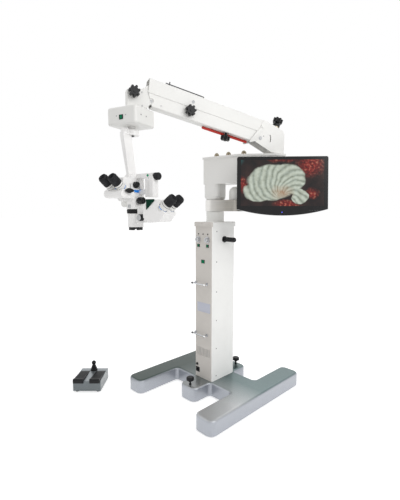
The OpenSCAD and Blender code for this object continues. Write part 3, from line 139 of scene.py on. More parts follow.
BOX_FACE, HEAD_SWITCH_HEIGHT, BOX_DOT_HEIGHT = 80.5, 1639.4, 1647
STRIPE = (((34, -40, 1281), (34.7, 40, 1294)), ((34, -20.6, 1281), (44, -20, 1293)),
          ((44, -20.6, 1291), (64, -20, 1294)))
GUSSET = ((-64, -20), (-64, -68), (-56, -68), (-14, -22), (-14, -20))
DRUM_END, WING_CENTRE, DRUM_KNOB = 64, (-104, 1286), (-121, 1286)
WING = ((-27, 1), (-22, 6), (-13, 8), (-7, 12), (4, 12), (11, 8), (23, 6), (27, 0),
        (23, -6), (11, -8), (3, -12), (-8, -12), (-14, -8), (-23, -5))
GRIP_HEIGHT = 1357
GRIP_PROFILE = ((0, 0), (8, 0), (8, 3), (16, 4), (17.5, 8), (17.5, 30), (15, 35), (0, 36))
OBJECTIVE_LENS = ((26.9, 0), (22, -2), (12, -3.4), (0, -4))
EYE_HALF, TUBE_RADIUS = 33, 22
EYE_LENS = ((11.9, 0), (8, 1.6), (4, 2.5), (0, 2.8))
CASE_TOP = 76


# Studio, in metres, watts and degrees

CAMERA_PLACE, CAMERA_TURN, CAMERA_DIP = (1.60584, -1.70559, 1.18857), 45.67, 6.2
FOCAL_PIXELS, PICTURE_PIXELS, SENSOR = 359.82, 500, 36
LAMP_AIM = (0, -0.2, 0.9)
# name, place, power, size
LAMPS = (
    ("Key", (3.2, -0.3, 2.9), 46, 2.4), ("Fill", (-2.2, -2.6, 2.6), 9, 2.6), ("Back", (-1.2, 3.0, 3.0), 14, 2.0))
SKY_LIGHT, FLOOR_LIFT, FLOOR_REACH = 0.66, 0.5, 60


# Settings

def colour_setting(name, description, default):
    return bpy.props.FloatVectorProperty(
        name=name, description=description, subtype="COLOR", size=3, default=default, min=0, max=1)


def length_setting(name, description, default, low, high):
    return bpy.props.FloatProperty(
        name=name, description=description, unit="LENGTH", default=default, min=low, max=high)


class MicroscopeColours(bpy.types.PropertyGroup):
    """Colours of the finishes"""

    white: colour_setting("White paint", "Colour of the white enamel", (0.84, 0.835, 0.81))
    grey: colour_setting("Grey paint", "Colour of the light grey panels", (0.95, 0.95, 0.93))
    silver: colour_setting("Silver paint", "Colour of the metallic base paint", (0.4, 0.42, 0.46))
    # deep teal tone of the base's top faces: a painted reflection and shade
    silver_top_painted_reflection: colour_setting("Silver paint on top", "Deeper tone of the base's top faces", (0.1, 0.155, 0.157))
    # panel colour: the control panel's own grey-beige, also standing for painted shade on the -Y face
    panel: colour_setting("Panel paint", "Colour of the column's control panel", (0.68, 0.645, 0.605))
    black: colour_setting("Black plastic", "Colour of the moulded knobs and grips", (0.009, 0.0095, 0.011))
    blue: colour_setting("Blue band", "Colour of the bands on tubes and body", (0.04, 0.3, 0.88))
    red: colour_setting("Red rod", "Colour of the rod under the arm", (0.62, 0.045, 0.03))
    green: colour_setting("Green switch", "Colour of the rocker switches", (0.0, 0.2, 0.085))


class MicroscopeSizes(bpy.types.PropertyGroup):
    """Sizes of the small fittings"""

    screw_head: length_setting("Screw head", "Diameter of the panel screws", 0.008, 0.004, 0.014)
    grain: length_setting("Paint grain", "Depth of the paint's fine texture", 0.00012, 0, 0.001)
    band: length_setting("Blue band", "Height of the blue bands", 0.003, 0.001, 0.006)


def colours():
    return bpy.context.scene.microscope_colours


def sizes():
    return bpy.context.scene.microscope_sizes


# Materials

class Nodes:
    """Short hand for building a material's nodes"""

    def __init__(self, name):
        self.material = bpy.data.materials.new(name)
        self.material.use_nodes = True
        self.tree = self.material.node_tree
        self.shader = self.tree.nodes["Principled BSDF"]
        self.coords = None

    def add(self, kind, **values):
        node = self.tree.nodes.new(kind)
        for key, value in values.items():
            if key in node.inputs:
                node.inputs[key].default_value = value
            else:
                setattr(node, key, value)
        return node

    def link(self, out, to):
        self.tree.links.new(out, to)

    def object_coords(self, scale=(1, 1, 1), rotation=(0, 0, 0), location=(0, 0, 0)):
        if self.coords is None:
            self.coords = self.add("ShaderNodeTexCoord")
        mapping = self.add("ShaderNodeMapping", Scale=scale, Rotation=rotation, Location=location)
        self.link(self.coords.outputs["Object"], mapping.inputs["Vector"])
        return mapping.outputs["Vector"]

    def noise(self, scale, detail=2.0, vector=None, roughness=0.5):
        node = self.add("ShaderNodeTexNoise", Scale=scale, Detail=detail, Roughness=roughness)
        self.link(vector or self.object_coords(), node.inputs["Vector"])
        return node.outputs["Fac"]

    def ramp(self, source, stops):
        node = self.add("ShaderNodeValToRGB")
        ramp = node.color_ramp
        while len(ramp.elements) < len(stops):
            ramp.elements.new(0.5)
        for element, (place, colour) in zip(ramp.elements, stops):
            element.position = place
            element.color = (*colour, 1) if len(colour) == 3 else colour
        self.link(source, node.inputs["Fac"])
        return node.outputs["Color"]

    def span(self, source, low, high):
        node = self.add("ShaderNodeMapRange")
        node.inputs["To Min"].default_value = low
        node.inputs["To Max"].default_value = high
        self.link(source, node.inputs["Value"])
        return node.outputs["Result"]

    def along(self, axis, start, end):
        """0 to 1 across a stretch of one object axis"""
        split = self.add("ShaderNodeSeparateXYZ")
        self.link(self.object_coords(), split.inputs["Vector"])
        node = self.add("ShaderNodeMapRange")
        node.inputs["From Min"].default_value = start
        node.inputs["From Max"].default_value = end
        self.link(split.outputs[axis], node.inputs["Value"])
        return node.outputs["Result"]

    def blend(self, low, high, share):
        node = self.add("ShaderNodeMix", data_type="RGBA")
        self.link(share, node.inputs["Factor"])
        self.link(low, node.inputs[6])
        self.link(high, node.inputs[7])
        return node.outputs[2]

    def bump(self, height, strength, distance):
        node = self.add("ShaderNodeBump", Strength=strength, Distance=distance)
        self.link(height, node.inputs["Height"])
        self.link(node.outputs["Normal"], self.shader.inputs["Normal"])
        return node

    def colour(self, source):
        self.link(source, self.shader.inputs["Base Color"])

    def set(self, **values):
        for key, value in values.items():
            self.shader.inputs[key.replace("_", " ")].default_value = value


def dimmed(colour, share):
    return tuple(c * share for c in colour)


def enamel(name, colour, roughness=0.38):
    """Sprayed enamel: faint orange peel, faint dulling and a little handling grime"""
    n = Nodes(name)
    soft = n.noise(7, 4)
    n.colour(n.ramp(soft, [(0.3, dimmed(colour, 0.965)), (0.6, colour)]))
    wear = n.noise(60, 5)
    n.link(n.span(wear, roughness - 0.06, roughness + 0.1), n.shader.inputs["Roughness"])
    n.bump(n.noise(900, 2), 0.25, sizes().grain)
    n.set(Coat_Weight=0.15, Coat_Roughness=0.25)
    return n.material


def column_enamel(name, colour, panel):
    """Powder coat, with a greyer control panel on the -Y face, partly the panel's own colour and partly painted
    shade on that face
    """
    n = Nodes(name)
    cloud = n.noise(11, 4)
    sides = n.ramp(cloud, [(0.3, dimmed(colour, 0.97)), (0.65, colour)])
    # front: the control panel's grey-beige, which also stands for painted shade on the -Y face
    front = n.ramp(cloud, [(0.3, dimmed(panel, 0.95)), (0.65, panel)])
    n.colour(n.blend(front, sides, n.along("Y", -0.1055, -0.1045)))
    n.link(n.span(n.noise(80, 4), 0.46, 0.6), n.shader.inputs["Roughness"])
    n.bump(n.noise(1500, 3), 0.5, sizes().grain)
    return n.material


def metallic_paint(name, colour, top, edge, painted_near_reflection=None, far=None):
    """Silver paint with fine flakes under a clear coat; another tone on top, above the edge, which on the base
    is a painted reflection and shade.

    Near and far are painted lighter and darker reflections on the top, towards +X -Y and towards -X."""
    n = Nodes(name)
    flake = n.add("ShaderNodeTexVoronoi", Scale=1400.0)
    n.link(n.object_coords(), flake.inputs["Vector"])

    def flaked(tone):
        light = tuple(min(1, c * 1.25) for c in tone)
        return n.ramp(flake.outputs["Distance"], [(0.1, light), (0.6, dimmed(tone, 0.88))])

    body, over = flaked(colour), flaked(top)
    if painted_near_reflection:
        over = n.blend(over, flaked(painted_near_reflection), n.along("Y", 0.02, -0.22))
        over = n.blend(flaked(far), over, n.along("X", -0.25, 0.12))
    n.colour(n.blend(body, over, n.along("Z", edge, edge + 0.007)))
    n.link(n.span(n.noise(30, 4), 0.3, 0.42), n.shader.inputs["Roughness"])
    n.bump(n.noise(500, 2), 0.12, sizes().grain)
    n.set(Metallic=0.72, Coat_Weight=0.5, Coat_Roughness=0.16)
    return n.material


def moulded(name, colour, roughness=0.42, grain=0.6, scale=1300, shine=0.25):
    """Moulded plastic with a fine spark-eroded grain"""
    n = Nodes(name)
    n.colour(n.ramp(n.noise(25, 3), [(0.35, dimmed(colour, 0.85)), (0.65, colour)]))
    n.link(n.span(n.noise(120, 3), roughness - 0.06, roughness + 0.08), n.shader.inputs["Roughness"])
    n.bump(n.noise(scale, 2), grain, 0.0001)
    n.set(Specular_IOR_Level=shine)
    return n.material


def rubber(name, colour):
    n = Nodes(name)
    dusty = tuple(min(1, c * 1.9 + 0.01) for c in colour)
    n.colour(n.ramp(n.noise(40, 5), [(0.4, colour), (0.75, dusty)]))
    n.link(n.span(n.noise(200, 3), 0.6, 0.8), n.shader.inputs["Roughness"])
    n.bump(n.noise(2200, 2), 0.5, 0.0001)
    n.set(Specular_IOR_Level=0.25)
    return n.material


def polished(name, colour, roughness=0.12):
    """Chrome plate with faint wiping marks"""
    n = Nodes(name)
    n.colour(n.ramp(n.noise(20, 3), [(0.3, dimmed(colour, 0.93)), (0.7, colour)]))
    n.link(n.span(n.noise(90, 5), roughness * 0.7, roughness * 1.6), n.shader.inputs["Roughness"])
    n.set(Metallic=1.0)
    return n.material


def brushed(name, colour, bright):
    """Brushed metal: streaks are drawn out along the brushing direction; a painted highlight, a brighter tone,
    towards -X
    """
    n = Nodes(name)
    streaks = n.noise(1.0, 4, n.object_coords(scale=(4, 4, 700)))
    tone = n.ramp(streaks, [(0.3, dimmed(colour, 0.82)), (0.7, colour)])
    painted_highlight = n.ramp(streaks, [(0.3, dimmed(bright, 0.92)), (0.7, bright)])
    n.colour(n.blend(painted_highlight, tone, n.along("X", -0.05, 0.12)))
    n.link(n.span(streaks, 0.22, 0.39), n.shader.inputs["Roughness"])
    n.bump(streaks, 0.15, 0.00008)
    n.set(Metallic=1.0, Anisotropic=0.4)
    return n.material


def lens(name, colour):
    """Coated lens; its dark colour is painted shade from inside the optics"""
    n = Nodes(name)
    n.colour(n.ramp(n.noise(30, 1), [(0.3, dimmed(colour, 0.9)), (0.7, colour)]))
    n.set(Roughness=0.03, Coat_Weight=1.0, Coat_Roughness=0.02, Coat_Tint=(0.55, 0.5, 1.0, 1), IOR=1.6)
    return n.material


def lit(name, colour, strength):
    n = Nodes(name)
    n.colour(n.ramp(n.noise(300, 1), [(0.3, dimmed(colour, 0.8)), (0.7, colour)]))
    n.set(Emission_Color=(*colour, 1), Emission_Strength=strength, Roughness=0.25)
    return n.material


# Patches of the live picture: middle x and z, half width and half height, in metres on the screen
RED_PATCHES = ((0.19, 0.13, 0.11, 0.09), (0.03, 0.17, 0.12, 0.035), (-0.2, 0.02, 0.05, 0.06),
               (0.06, -0.09, 0.1, 0.04), (0.2, -0.03, 0.05, 0.05))
PALE_PATCHES = ((-0.03, 0.035, 0.17, 0.12), (0.065, 0.055, 0.12, 0.1), (-0.11, -0.02, 0.1, 0.07),
                (0.13, -0.045, 0.06, 0.05))


def live_picture(name):
    """Generic close-up: a pale fan of folds and soft reds on a dark ground"""
    n = Nodes(name)
    local = SCREEN.inverted()
    flat = n.object_coords(rotation=local.to_euler(), location=local.translation)
    warp = n.add("ShaderNodeTexNoise", Scale=9.0, Detail=3.0)
    n.link(flat, warp.inputs["Vector"])
    mixed = n.add("ShaderNodeVectorMath", operation="MULTIPLY_ADD")
    n.link(warp.outputs["Color"], mixed.inputs[0])
    mixed.inputs[1].default_value = (0.06, 0.0, 0.06)
    n.link(flat, mixed.inputs[2])

    def blob(x, z, wide, high):
        place = n.add("ShaderNodeMapping", Location=(-x / wide, 0, -z / high), Scale=(1 / wide, 0, 1 / high))
        n.link(mixed.outputs["Vector"], place.inputs["Vector"])
        ball = n.add("ShaderNodeTexGradient", gradient_type="SPHERICAL")
        n.link(place.outputs["Vector"], ball.inputs["Vector"])
        return ball.outputs["Fac"]

    def sharp(source, low, high):
        step = n.add("ShaderNodeMapRange")
        step.inputs["From Min"].default_value = low
        step.inputs["From Max"].default_value = high
        n.link(source, step.inputs["Value"])
        return step.outputs["Result"]

    def sum_of(operation, first, second):
        node = n.add("ShaderNodeMath", operation=operation)
        for socket, value in zip(node.inputs, (first, second)):
            if isinstance(value, (int, float)):
                socket.default_value = value
            elif value is not None:
                n.link(value, socket)
        return node.outputs["Value"]

    def folds(x, z, count, spread):
        """Soft folds that fan out from a point"""
        split = n.add("ShaderNodeSeparateXYZ")
        n.link(mixed.outputs["Vector"], split.inputs["Vector"])
        across, up = sum_of("SUBTRACT", split.outputs["X"], x), sum_of("SUBTRACT", split.outputs["Z"], z)
        squares = sum_of("ADD", sum_of("MULTIPLY", across, across), sum_of("MULTIPLY", up, up))
        reach = sum_of("SQRT", squares, None)
        turn = sum_of("MULTIPLY", sum_of("ARCTAN2", up, across), count)
        wave = sum_of("SINE", sum_of("ADD", turn, sum_of("MULTIPLY", reach, spread)), None)
        return sum_of("MULTIPLY_ADD", wave, 0.5)

    dark = n.ramp(n.noise(14, 4, flat), [(0.35, (0.006, 0.005, 0.006)), (0.7, (0.03, 0.014, 0.012))])
    reds = n.ramp(n.noise(75, 6, flat), [
        (0.35, (0.05, 0.005, 0.005)), (0.55, (0.24, 0.018, 0.014)), (0.72, (0.5, 0.24, 0.15))])
    # teal patch in a top corner of the screen: a painted reflection on the glass, given as glow
    painted_teal_reflection = n.ramp(n.noise(20, 2, flat), [(0.3, (0.012, 0.05, 0.05)), (0.7, (0.03, 0.13, 0.14))])
    picture = n.blend(dark, painted_teal_reflection, sharp(blob(-0.235, 0.165, 0.07, 0.05), 0.2, 0.7))
    for patch in RED_PATCHES:
        picture = n.blend(picture, reds, sharp(blob(*patch), 0.15, 0.75))
    fan = folds(0.035, -0.035, 17.0, 150.0)
    shade = n.ramp(fan, [(0.0, (0.15, 0.19, 0.16)), (0.35, (0.34, 0.4, 0.34)), (1.0, (0.52, 0.58, 0.5))])
    mottle = n.ramp(n.noise(45, 4, flat), [(0.35, (0.3, 0.3, 0.22)), (0.65, (0.56, 0.6, 0.52))])
    half = n.add("ShaderNodeValue")
    half.outputs[0].default_value = 0.4
    pale = n.blend(shade, mottle, half.outputs[0])
    warm = n.ramp(n.noise(50, 4, flat), [(0.4, (0.34, 0.14, 0.05)), (0.7, (0.5, 0.42, 0.3))])
    pale = n.blend(pale, warm, sharp(blob(0.035, -0.02, 0.07, 0.045), 0.0, 1.4))
    for patch in PALE_PATCHES:
        picture = n.blend(picture, pale, sharp(blob(*patch), 0.16, 0.24))
    deep = n.ramp(n.noise(3, 1, flat), [(0.0, (0.004, 0.004, 0.004)), (1.0, (0.005, 0.005, 0.005))])
    most = n.add("ShaderNodeValue")
    most.outputs[0].default_value = 0.7
    n.colour(n.blend(picture, deep, most.outputs[0]))
    n.link(picture, n.shader.inputs["Emission Color"])
    n.set(Emission_Strength=0.75, Roughness=0.12, Specular_IOR_Level=0.3)
    return n.material


FINISHES = {}


def finish_named(name):
    return FINISHES[name]


def make_finishes():
    c = colours()
    white, grey, black = tuple(c.white), tuple(c.grey), tuple(c.black)
    FINISHES.update({
        "white_paint": enamel("White enamel", white),
        "grey_paint": column_enamel("Column powder coat", grey, tuple(c.panel)),
        # the base's top tone and its near and far tones are painted reflection and shade on the top faces
        "silver_paint": metallic_paint("Silver base paint", tuple(c.silver), tuple(c.silver_top_painted_reflection), 0.084,
                                       (0.42, 0.43, 0.44), (0.008, 0.03, 0.022)),
        "black_plastic": moulded("Black moulded plastic", black),
        "black_satin": moulded("Black satin knob", dimmed(black, 0.8), 0.3, 0.3),
        "eyecup_rubber": rubber("Eyecup rubber", black),
        "caster_nylon": moulded("Caster nylon", (0.1, 0.1, 0.1), 0.4),
        "chrome": polished("Chrome plate", (0.55, 0.56, 0.58), 0.18),
        "bright_chrome": polished("Bright chrome", (0.85, 0.85, 0.86)),
        "screw_steel": polished("Screw steel", (0.36, 0.36, 0.36), 0.3),
        "bronze_nut": polished("Warm nickel plate", (0.3, 0.26, 0.19), 0.2),
        # the bright second tone is a painted highlight towards -X on the monitor arm
        "stainless_steel": brushed("Brushed stainless steel", (0.46, 0.44, 0.4), (0.86, 0.85, 0.83)),
        "dark_metal": moulded("Dark enamel", (0.07, 0.072, 0.075), 0.36, 0.3),
        "green_plastic": moulded("Green switch plastic", tuple(c.green), 0.35, 0.15, shine=0.1),
        "gloss_black": moulded("Glossy black bezel", (0.012, 0.012, 0.013), 0.16, 0.05),
        "red_plastic": moulded("Red rod plastic", tuple(c.red), 0.3, 0.2),
        "foot_metal": metallic_paint("Grey foot switch paint", (0.14, 0.16, 0.17), (0.3, 0.33, 0.35), 0.07),
        "blue_band": moulded("Blue band", tuple(c.blue), 0.3, 0.1),
        "shell_grey": moulded("Monitor shell", (0.6, 0.61, 0.62), 0.35, 0.4),
        "gusset_green": moulded("Dark green bracket", (0.001, 0.036, 0.02), 0.5, 0.3, 900, 0.1),
        # a brighter copy of the white enamel: painted light on the head parts, which sit in shade
        "head_paint": enamel("Head enamel", (0.95, 0.94, 0.93)),
        "lens_glass": lens("Coated lens", (0.02, 0.02, 0.045)),
        "pale_plate": enamel("Pale plate", (0.55, 0.57, 0.66), 0.3),
        "screen_glass": live_picture("Live picture"),
        "blue_light": lit("Blue pilot light", (0.1, 0.12, 0.9), 1.2),
        "green_light": lit("Green pilot light", (0.0, 0.23, 0.1), 0.25),
        "dark_slot": moulded("Dark recess", (0.02, 0.02, 0.02), 0.7),
        "ink": moulded("Printed ink", (0.04, 0.04, 0.045), 0.5, 0.1),
    })


# Shapes

def round_edges(part, edge):
    bmesh.ops.bevel(part, geom=part.edges[:], offset=edge * MM, segments=2, affect="EDGES", profile=0.5)


class Shape:
    """Gathers simple solids in one mesh, in millimetres along a given frame"""

    def __init__(self):
        self.mesh = bmesh.new()

    def lathe(self, matrix, profile, segments=48, smooth=True):
        """Turns (radius, height) points about the frame's Z; ends on the axis are closed"""
        rings = []
        for radius, height in profile:
            if radius == 0:
                rings.append([self.mesh.verts.new(matrix @ Vector((0, 0, height * MM)))])
            else:
                rings.append([
                    self.mesh.verts.new(matrix @ (Vector((
                        radius * math.cos(2 * math.pi * k / segments),
                        radius * math.sin(2 * math.pi * k / segments), height)) * MM))
                    for k in range(segments)])
        for low, high in zip(rings, rings[1:]):
            for k in range(segments):
                m = (k + 1) % segments
                if len(low) == 1:
                    face = [low[0], high[m], high[k]]
                elif len(high) == 1:
                    face = [low[k], low[m], high[0]]
                else:
                    face = [low[k], low[m], high[m], high[k]]
                self.mesh.faces.new(face).smooth = smooth
        return self

    def disc(self, matrix, radius, low, high, edge=0.6, segments=40):
        edge = min(edge, (high - low) * 0.45, radius * 0.45)
        return self.lathe(matrix, [
            (0, low), (radius, low), (radius, high - edge),
            (radius - edge * 0.3, high - edge * 0.3), (radius - edge, high), (0, high)], segments)

    def ring(self, matrix, outer, inner, low, high, segments=56):
        return self.lathe(matrix, [
            (inner, low), (outer, low), (outer, high), (inner, high), (inner, low)], segments, True)

    def block(self, matrix, low, high, edge=0.8):
        """Box between two corners, with its edges chamfered"""
        part = bmesh.new()
        bmesh.ops.create_cube(part, size=1)
        size = [high[i] - low[i] for i in range(3)]
        for v in part.verts:
            v.co = Vector([(low[i] + size[i] * (v.co[i] + 0.5)) * MM for i in range(3)])
        edge = min(edge, min(size) * 0.4)
        if edge > 0.05:
            round_edges(part, edge)
        self.take(matrix, part)
        return self

    def prism(self, matrix, points, low, high, edge=0.0):
        """Outline in the frame's XY, drawn from low to high along Z"""
        part = bmesh.new()
        base = [part.verts.new((x * MM, y * MM, low * MM)) for x, y in points]
        top = [part.verts.new((x * MM, y * MM, high * MM)) for x, y in points]
        part.faces.new(base[::-1])
        part.faces.new(top)
        for k in range(len(points)):
            m = (k + 1) % len(points)
            part.faces.new([base[k], base[m], top[m], top[k]])
        bmesh.ops.recalc_face_normals(part, faces=part.faces[:])
        if edge:
            round_edges(part, edge)
        self.take(matrix, part)
        return self

    def rod(self, matrix, points, radius, segments=14):
        """Round rod along a path of points"""
        path = [matrix @ (Vector(p) * MM) for p in points]
        rings = []
        for k, point in enumerate(path):
            along = (path[min(k + 1, len(path) - 1)] - path[max(k - 1, 0)]).normalized()
            side = along.orthogonal() if k == 0 else side - along * side.dot(along)
            side.normalize()
            over = along.cross(side)
            rings.append([
                self.mesh.verts.new(point + (side * math.cos(a) + over * math.sin(a)) * radius * MM)
                for a in (2 * math.pi * i / segments for i in range(segments))])
        for low, high in zip(rings, rings[1:]):
            for k in range(segments):
                m = (k + 1) % segments
                self.mesh.faces.new([low[k], low[m], high[m], high[k]]).smooth = True
        self.mesh.faces.new(rings[0][::-1])
        self.mesh.faces.new(rings[-1])
        return self

    def take(self, matrix, part):
        made = {v: self.mesh.verts.new(matrix @ v.co) for v in part.verts}
        for face in part.faces:
            self.mesh.faces.new([made[v] for v in face.verts])
        part.free()

    def piece(self, name, body, slot, finish=None):
        name = name.replace(" ", "_").lower()
        bmesh.ops.recalc_face_normals(self.mesh, faces=self.mesh.faces[:])
        mesh = bpy.data.meshes.new(name)
        self.mesh.to_mesh(mesh)
        self.mesh.free()
        for polygon in mesh.polygons:
            polygon.use_smooth = True
        mesh.set_sharp_from_angle(angle=SMOOTH_ANGLE)
        mesh.materials.append(finish_named(finish or slot))
        thing = bpy.data.objects.new(name, mesh)
        bpy.context.scene.collection.objects.link(thing)
        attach(thing, body)
        return thing


def socket_screw(shape, matrix, radius, rise=2.0):
    """Button head with a hexagon socket"""
    shape.lathe(matrix, [
        (0, 0), (radius, 0), (radius, rise * 0.35), (radius * 0.75, rise), (radius * 0.45, rise)], 24)
    shape.lathe(matrix, [(radius * 0.45, rise), (radius * 0.42, rise * 0.3), (0, rise * 0.3)], 6, False)


# Repeated details, made with Geometry Nodes

def repeat_tree(name, around):
    """Tree that sets a small rib round a circle, or along a straight row"""
    tree = bpy.data.node_groups.new(name, "GeometryNodeTree")
    face = tree.interface
    face.new_socket("Geometry", in_out="OUTPUT", socket_type="NodeSocketGeometry")
    inputs = {
        "Count": face.new_socket("Count", in_out="INPUT", socket_type="NodeSocketInt"),
        "Reach": face.new_socket("Reach", in_out="INPUT", socket_type="NodeSocketFloat"),
        "Radius": face.new_socket("Radius", in_out="INPUT", socket_type="NodeSocketFloat"),
        "Height": face.new_socket("Height", in_out="INPUT", socket_type="NodeSocketFloat"),
        "Sides": face.new_socket("Sides", in_out="INPUT", socket_type="NodeSocketInt"),
        "Material": face.new_socket("Material", in_out="INPUT", socket_type="NodeSocketMaterial"),
    }
    add = tree.nodes.new
    start, end = add("NodeGroupInput"), add("NodeGroupOutput")
    if around:
        points = add("GeometryNodeMeshCircle")
        tree.links.new(start.outputs["Count"], points.inputs["Vertices"])
        tree.links.new(start.outputs["Reach"], points.inputs["Radius"])
    else:
        points = add("GeometryNodeMeshLine")
        points.mode = "OFFSET"
        tree.links.new(start.outputs["Count"], points.inputs["Count"])
        step = add("ShaderNodeCombineXYZ")
        tree.links.new(start.outputs["Reach"], step.inputs["X"])
        tree.links.new(step.outputs["Vector"], points.inputs["Offset"])
    rib = add("GeometryNodeMeshCylinder")
    tree.links.new(start.outputs["Sides"], rib.inputs["Vertices"])
    tree.links.new(start.outputs["Radius"], rib.inputs["Radius"])
    tree.links.new(start.outputs["Height"], rib.inputs["Depth"])
    place = add("GeometryNodeInstanceOnPoints")
    tree.links.new(points.outputs["Mesh"], place.inputs["Points"])
    tree.links.new(rib.outputs["Mesh"], place.inputs["Instance"])
    real, paint = add("GeometryNodeRealizeInstances"), add("GeometryNodeSetMaterial")
    tree.links.new(place.outputs["Instances"], real.inputs["Geometry"])
    tree.links.new(real.outputs["Geometry"], paint.inputs["Geometry"])
    tree.links.new(start.outputs["Material"], paint.inputs["Material"])
    tree.links.new(paint.outputs["Geometry"], end.inputs["Geometry"])
    return tree, {key: socket.identifier for key, socket in inputs.items()}


TREES = {}


def repeated(name, body, slot, matrix, around, count, reach, radius, height, sides):
    """One plain mesh of like ribs, in millimetres along matrix, riding on body"""
    name = name.replace(" ", "_").lower()
    if around not in TREES:
        TREES[around] = repeat_tree("Ribs round a ring" if around else "Ribs in a row", around)
    tree, keys = TREES[around]
    holder = bpy.data.objects.new(name + " source", bpy.data.meshes.new(name + " source"))
    bpy.context.scene.collection.objects.link(holder)
    modifier = holder.modifiers.new("Repeat", "NODES")
    modifier.node_group = tree
    values = {"Count": count, "Reach": reach * MM, "Radius": radius * MM, "Height": height * MM,
              "Sides": sides, "Material": finish_named(slot)}
    for key, value in values.items():
        modifier[keys[key]] = value
    graph = bpy.context.evaluated_depsgraph_get()
    graph.update()
    mesh = bpy.data.meshes.new_from_object(holder.evaluated_get(graph), depsgraph=graph)
    mesh.name = name
    bpy.data.objects.remove(holder)
    mesh.transform(matrix)
    for polygon in mesh.polygons:
        polygon.use_smooth = True
    mesh.set_sharp_from_angle(angle=SMOOTH_ANGLE)
    thing = bpy.data.objects.new(name, mesh)
    bpy.context.scene.collection.objects.link(thing)
    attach(thing, body)
    return thing


# Operators, one for each group of pieces

class MICROSCOPE_OT_finishes(bpy.types.Operator):
    """Makes the materials and gives every solid its own"""

    bl_idname = "microscope.finishes"
    bl_label = "Finishes"

    def execute(self, context):
        make_finishes()
        own = {"column_shell": "grey_paint", "column_cap": "grey_paint", "magnification_ring": "black_satin",
               "monitor_arm": "stainless_steel", "upper_link": "white_paint", "lower_link": "shell_grey",
               "swing_lid": "white_paint", "lower_cover": "white_paint", "dome_nuts": "bronze_nut",
               "tension_knob": "black_satin", "lock_knob": "black_satin", "stroke_knob": "black_satin",
               "front_knob": "black_satin"}
        # the head parts take the brighter copy of the white enamel, painted light over their shade
        own.update((node, "head_paint") for node in (
            "scope_body", "lamp_house", "assistant_body", "drop_arm", "binocular_body"))
        for part in frame["record"]["subparts"]:
            thing = frame["nodes"][part["node"]]
            finish = finish_named(own.get(part["node"], part["material_slot"]))
            for place in thing.material_slots:
                place.material = finish
        return {"FINISHED"}


def column_face(x, z, out=0.0):
    """Frame on the control panel with its Z pointing out"""
    return facing(shifted(WORLD, x, -COLUMN_FACE - out, z), "-Y")


def switch_frame(shape, place, half, high, left, right, edge, rise=2):
    """Frame round a rocker opening of half width by half height"""
    for low, top in (((-left, -edge, 0), (-half, edge, rise)), ((half, -edge, 0), (right, edge, rise)),
                     ((-half, high, 0), (half, edge, rise)), ((-half, -edge, 0), (half, -high, rise))):
        shape.block(place, low, top, 0.4)


class MICROSCOPE_OT_panel(bpy.types.Operator):
    """Screws, lamps, switch frames, dial scales, plate and rail ends on the column"""

    bl_idname = "microscope.panel"
    bl_label = "Column fittings"

    def execute(self, context):
        head = sizes().screw_head / MM / 2
        for name, x, direction in (("right", COLUMN_SIDE, "+X"), ("left", -COLUMN_SIDE, "-X")):
            screws = Shape()
            for z in COLUMN_SCREW_HEIGHTS:
                socket_screw(screws, facing(shifted(WORLD, x, SIDE_SCREW_Y, z), direction), head)
            screws.piece(f"Column screws {name}", "stand", "chrome", "screw_steel")
        back = Shape()
        for x in (-BACK_SCREW_X, BACK_SCREW_X):
            for z in COLUMN_SCREW_HEIGHTS:
                socket_screw(back, facing(shifted(WORLD, x, COLUMN_FACE, z), "+Y"), head)
        back.piece("Column screws back", "stand", "chrome", "screw_steel")
        lamps = Shape()
        for x in PILOT_LAMPS:
            lamps.disc(column_face(x, PILOT_HEIGHT), 4.2, 0, 2.4, 1.2)
        lamps.piece("Pilot lamps", "stand", "green_plastic", "dark_slot")
        frames = Shape()
        for x, z, half, high, left, right in SWITCH_OPENINGS:
            switch_frame(frames, column_face(x, z), half, high, left, right, high + 1.6)
        frames.piece("Switch frames", "stand", "black_plastic")
        scales = Shape()
        for x in DIALS:
            for k in range(11):
                angle = math.radians(-150 + 30 * k)
                turn = column_face(x, DIAL_HEIGHT) @ Matrix.Rotation(-angle, 4, "Z")
                scales.block(turn, (-0.5, 21.5, 0), (0.5, 25 if k % 5 == 0 else 23.5, 0.25), 0)
        scales.piece("Dial scales", "stand", "grey_paint", "ink")
        plate_x, plate_z, plate_half, plate_high, plate_rise = PLATE
        plate = Shape()
        plate.block(column_face(plate_x, plate_z), (-plate_half, -plate_high, 0),
                    (plate_half, plate_high, plate_rise), 0.4)
        plate.piece("Bare plate", "stand", "grey_paint", "pale_plate")
        rivets = Shape()
        for x in (plate_x - 54, plate_x + 54):
            for z in (plate_z - 27, plate_z + 27):
                rivets.disc(column_face(x, z, plate_rise), 1.6, 0, 0.7)
        rivets.piece("Plate rivets", "stand", "chrome")
        for side, x in zip(("left", "right"), DIALS):
            cap = Shape()
            cap.disc(column_face(x, DIAL_HEIGHT, DIAL_RISE), 9.5, 0, 0.7)
            cap.block(column_face(x, DIAL_HEIGHT, DIAL_RISE + 0.5), (-0.9, 3, 0), (0.9, 12.5, 0.6), 0.2)
            cap.piece(f"Dial cap {side}", f"{side}_dial", "chrome", "shell_grey")
        # dark left collars and bright right collars are painted shade and painted reflection
        for end, x, finish in RAIL_ENDS:
            collars = Shape()
            for z in RAIL_HEIGHTS:
                collars.lathe(facing(shifted(WORLD, x, RAIL_Y, z), "+X"), RAIL_COLLAR, 28)
            collars.piece(f"Rail ends {end}", "stand", "chrome", finish)
        return {"FINISHED"}


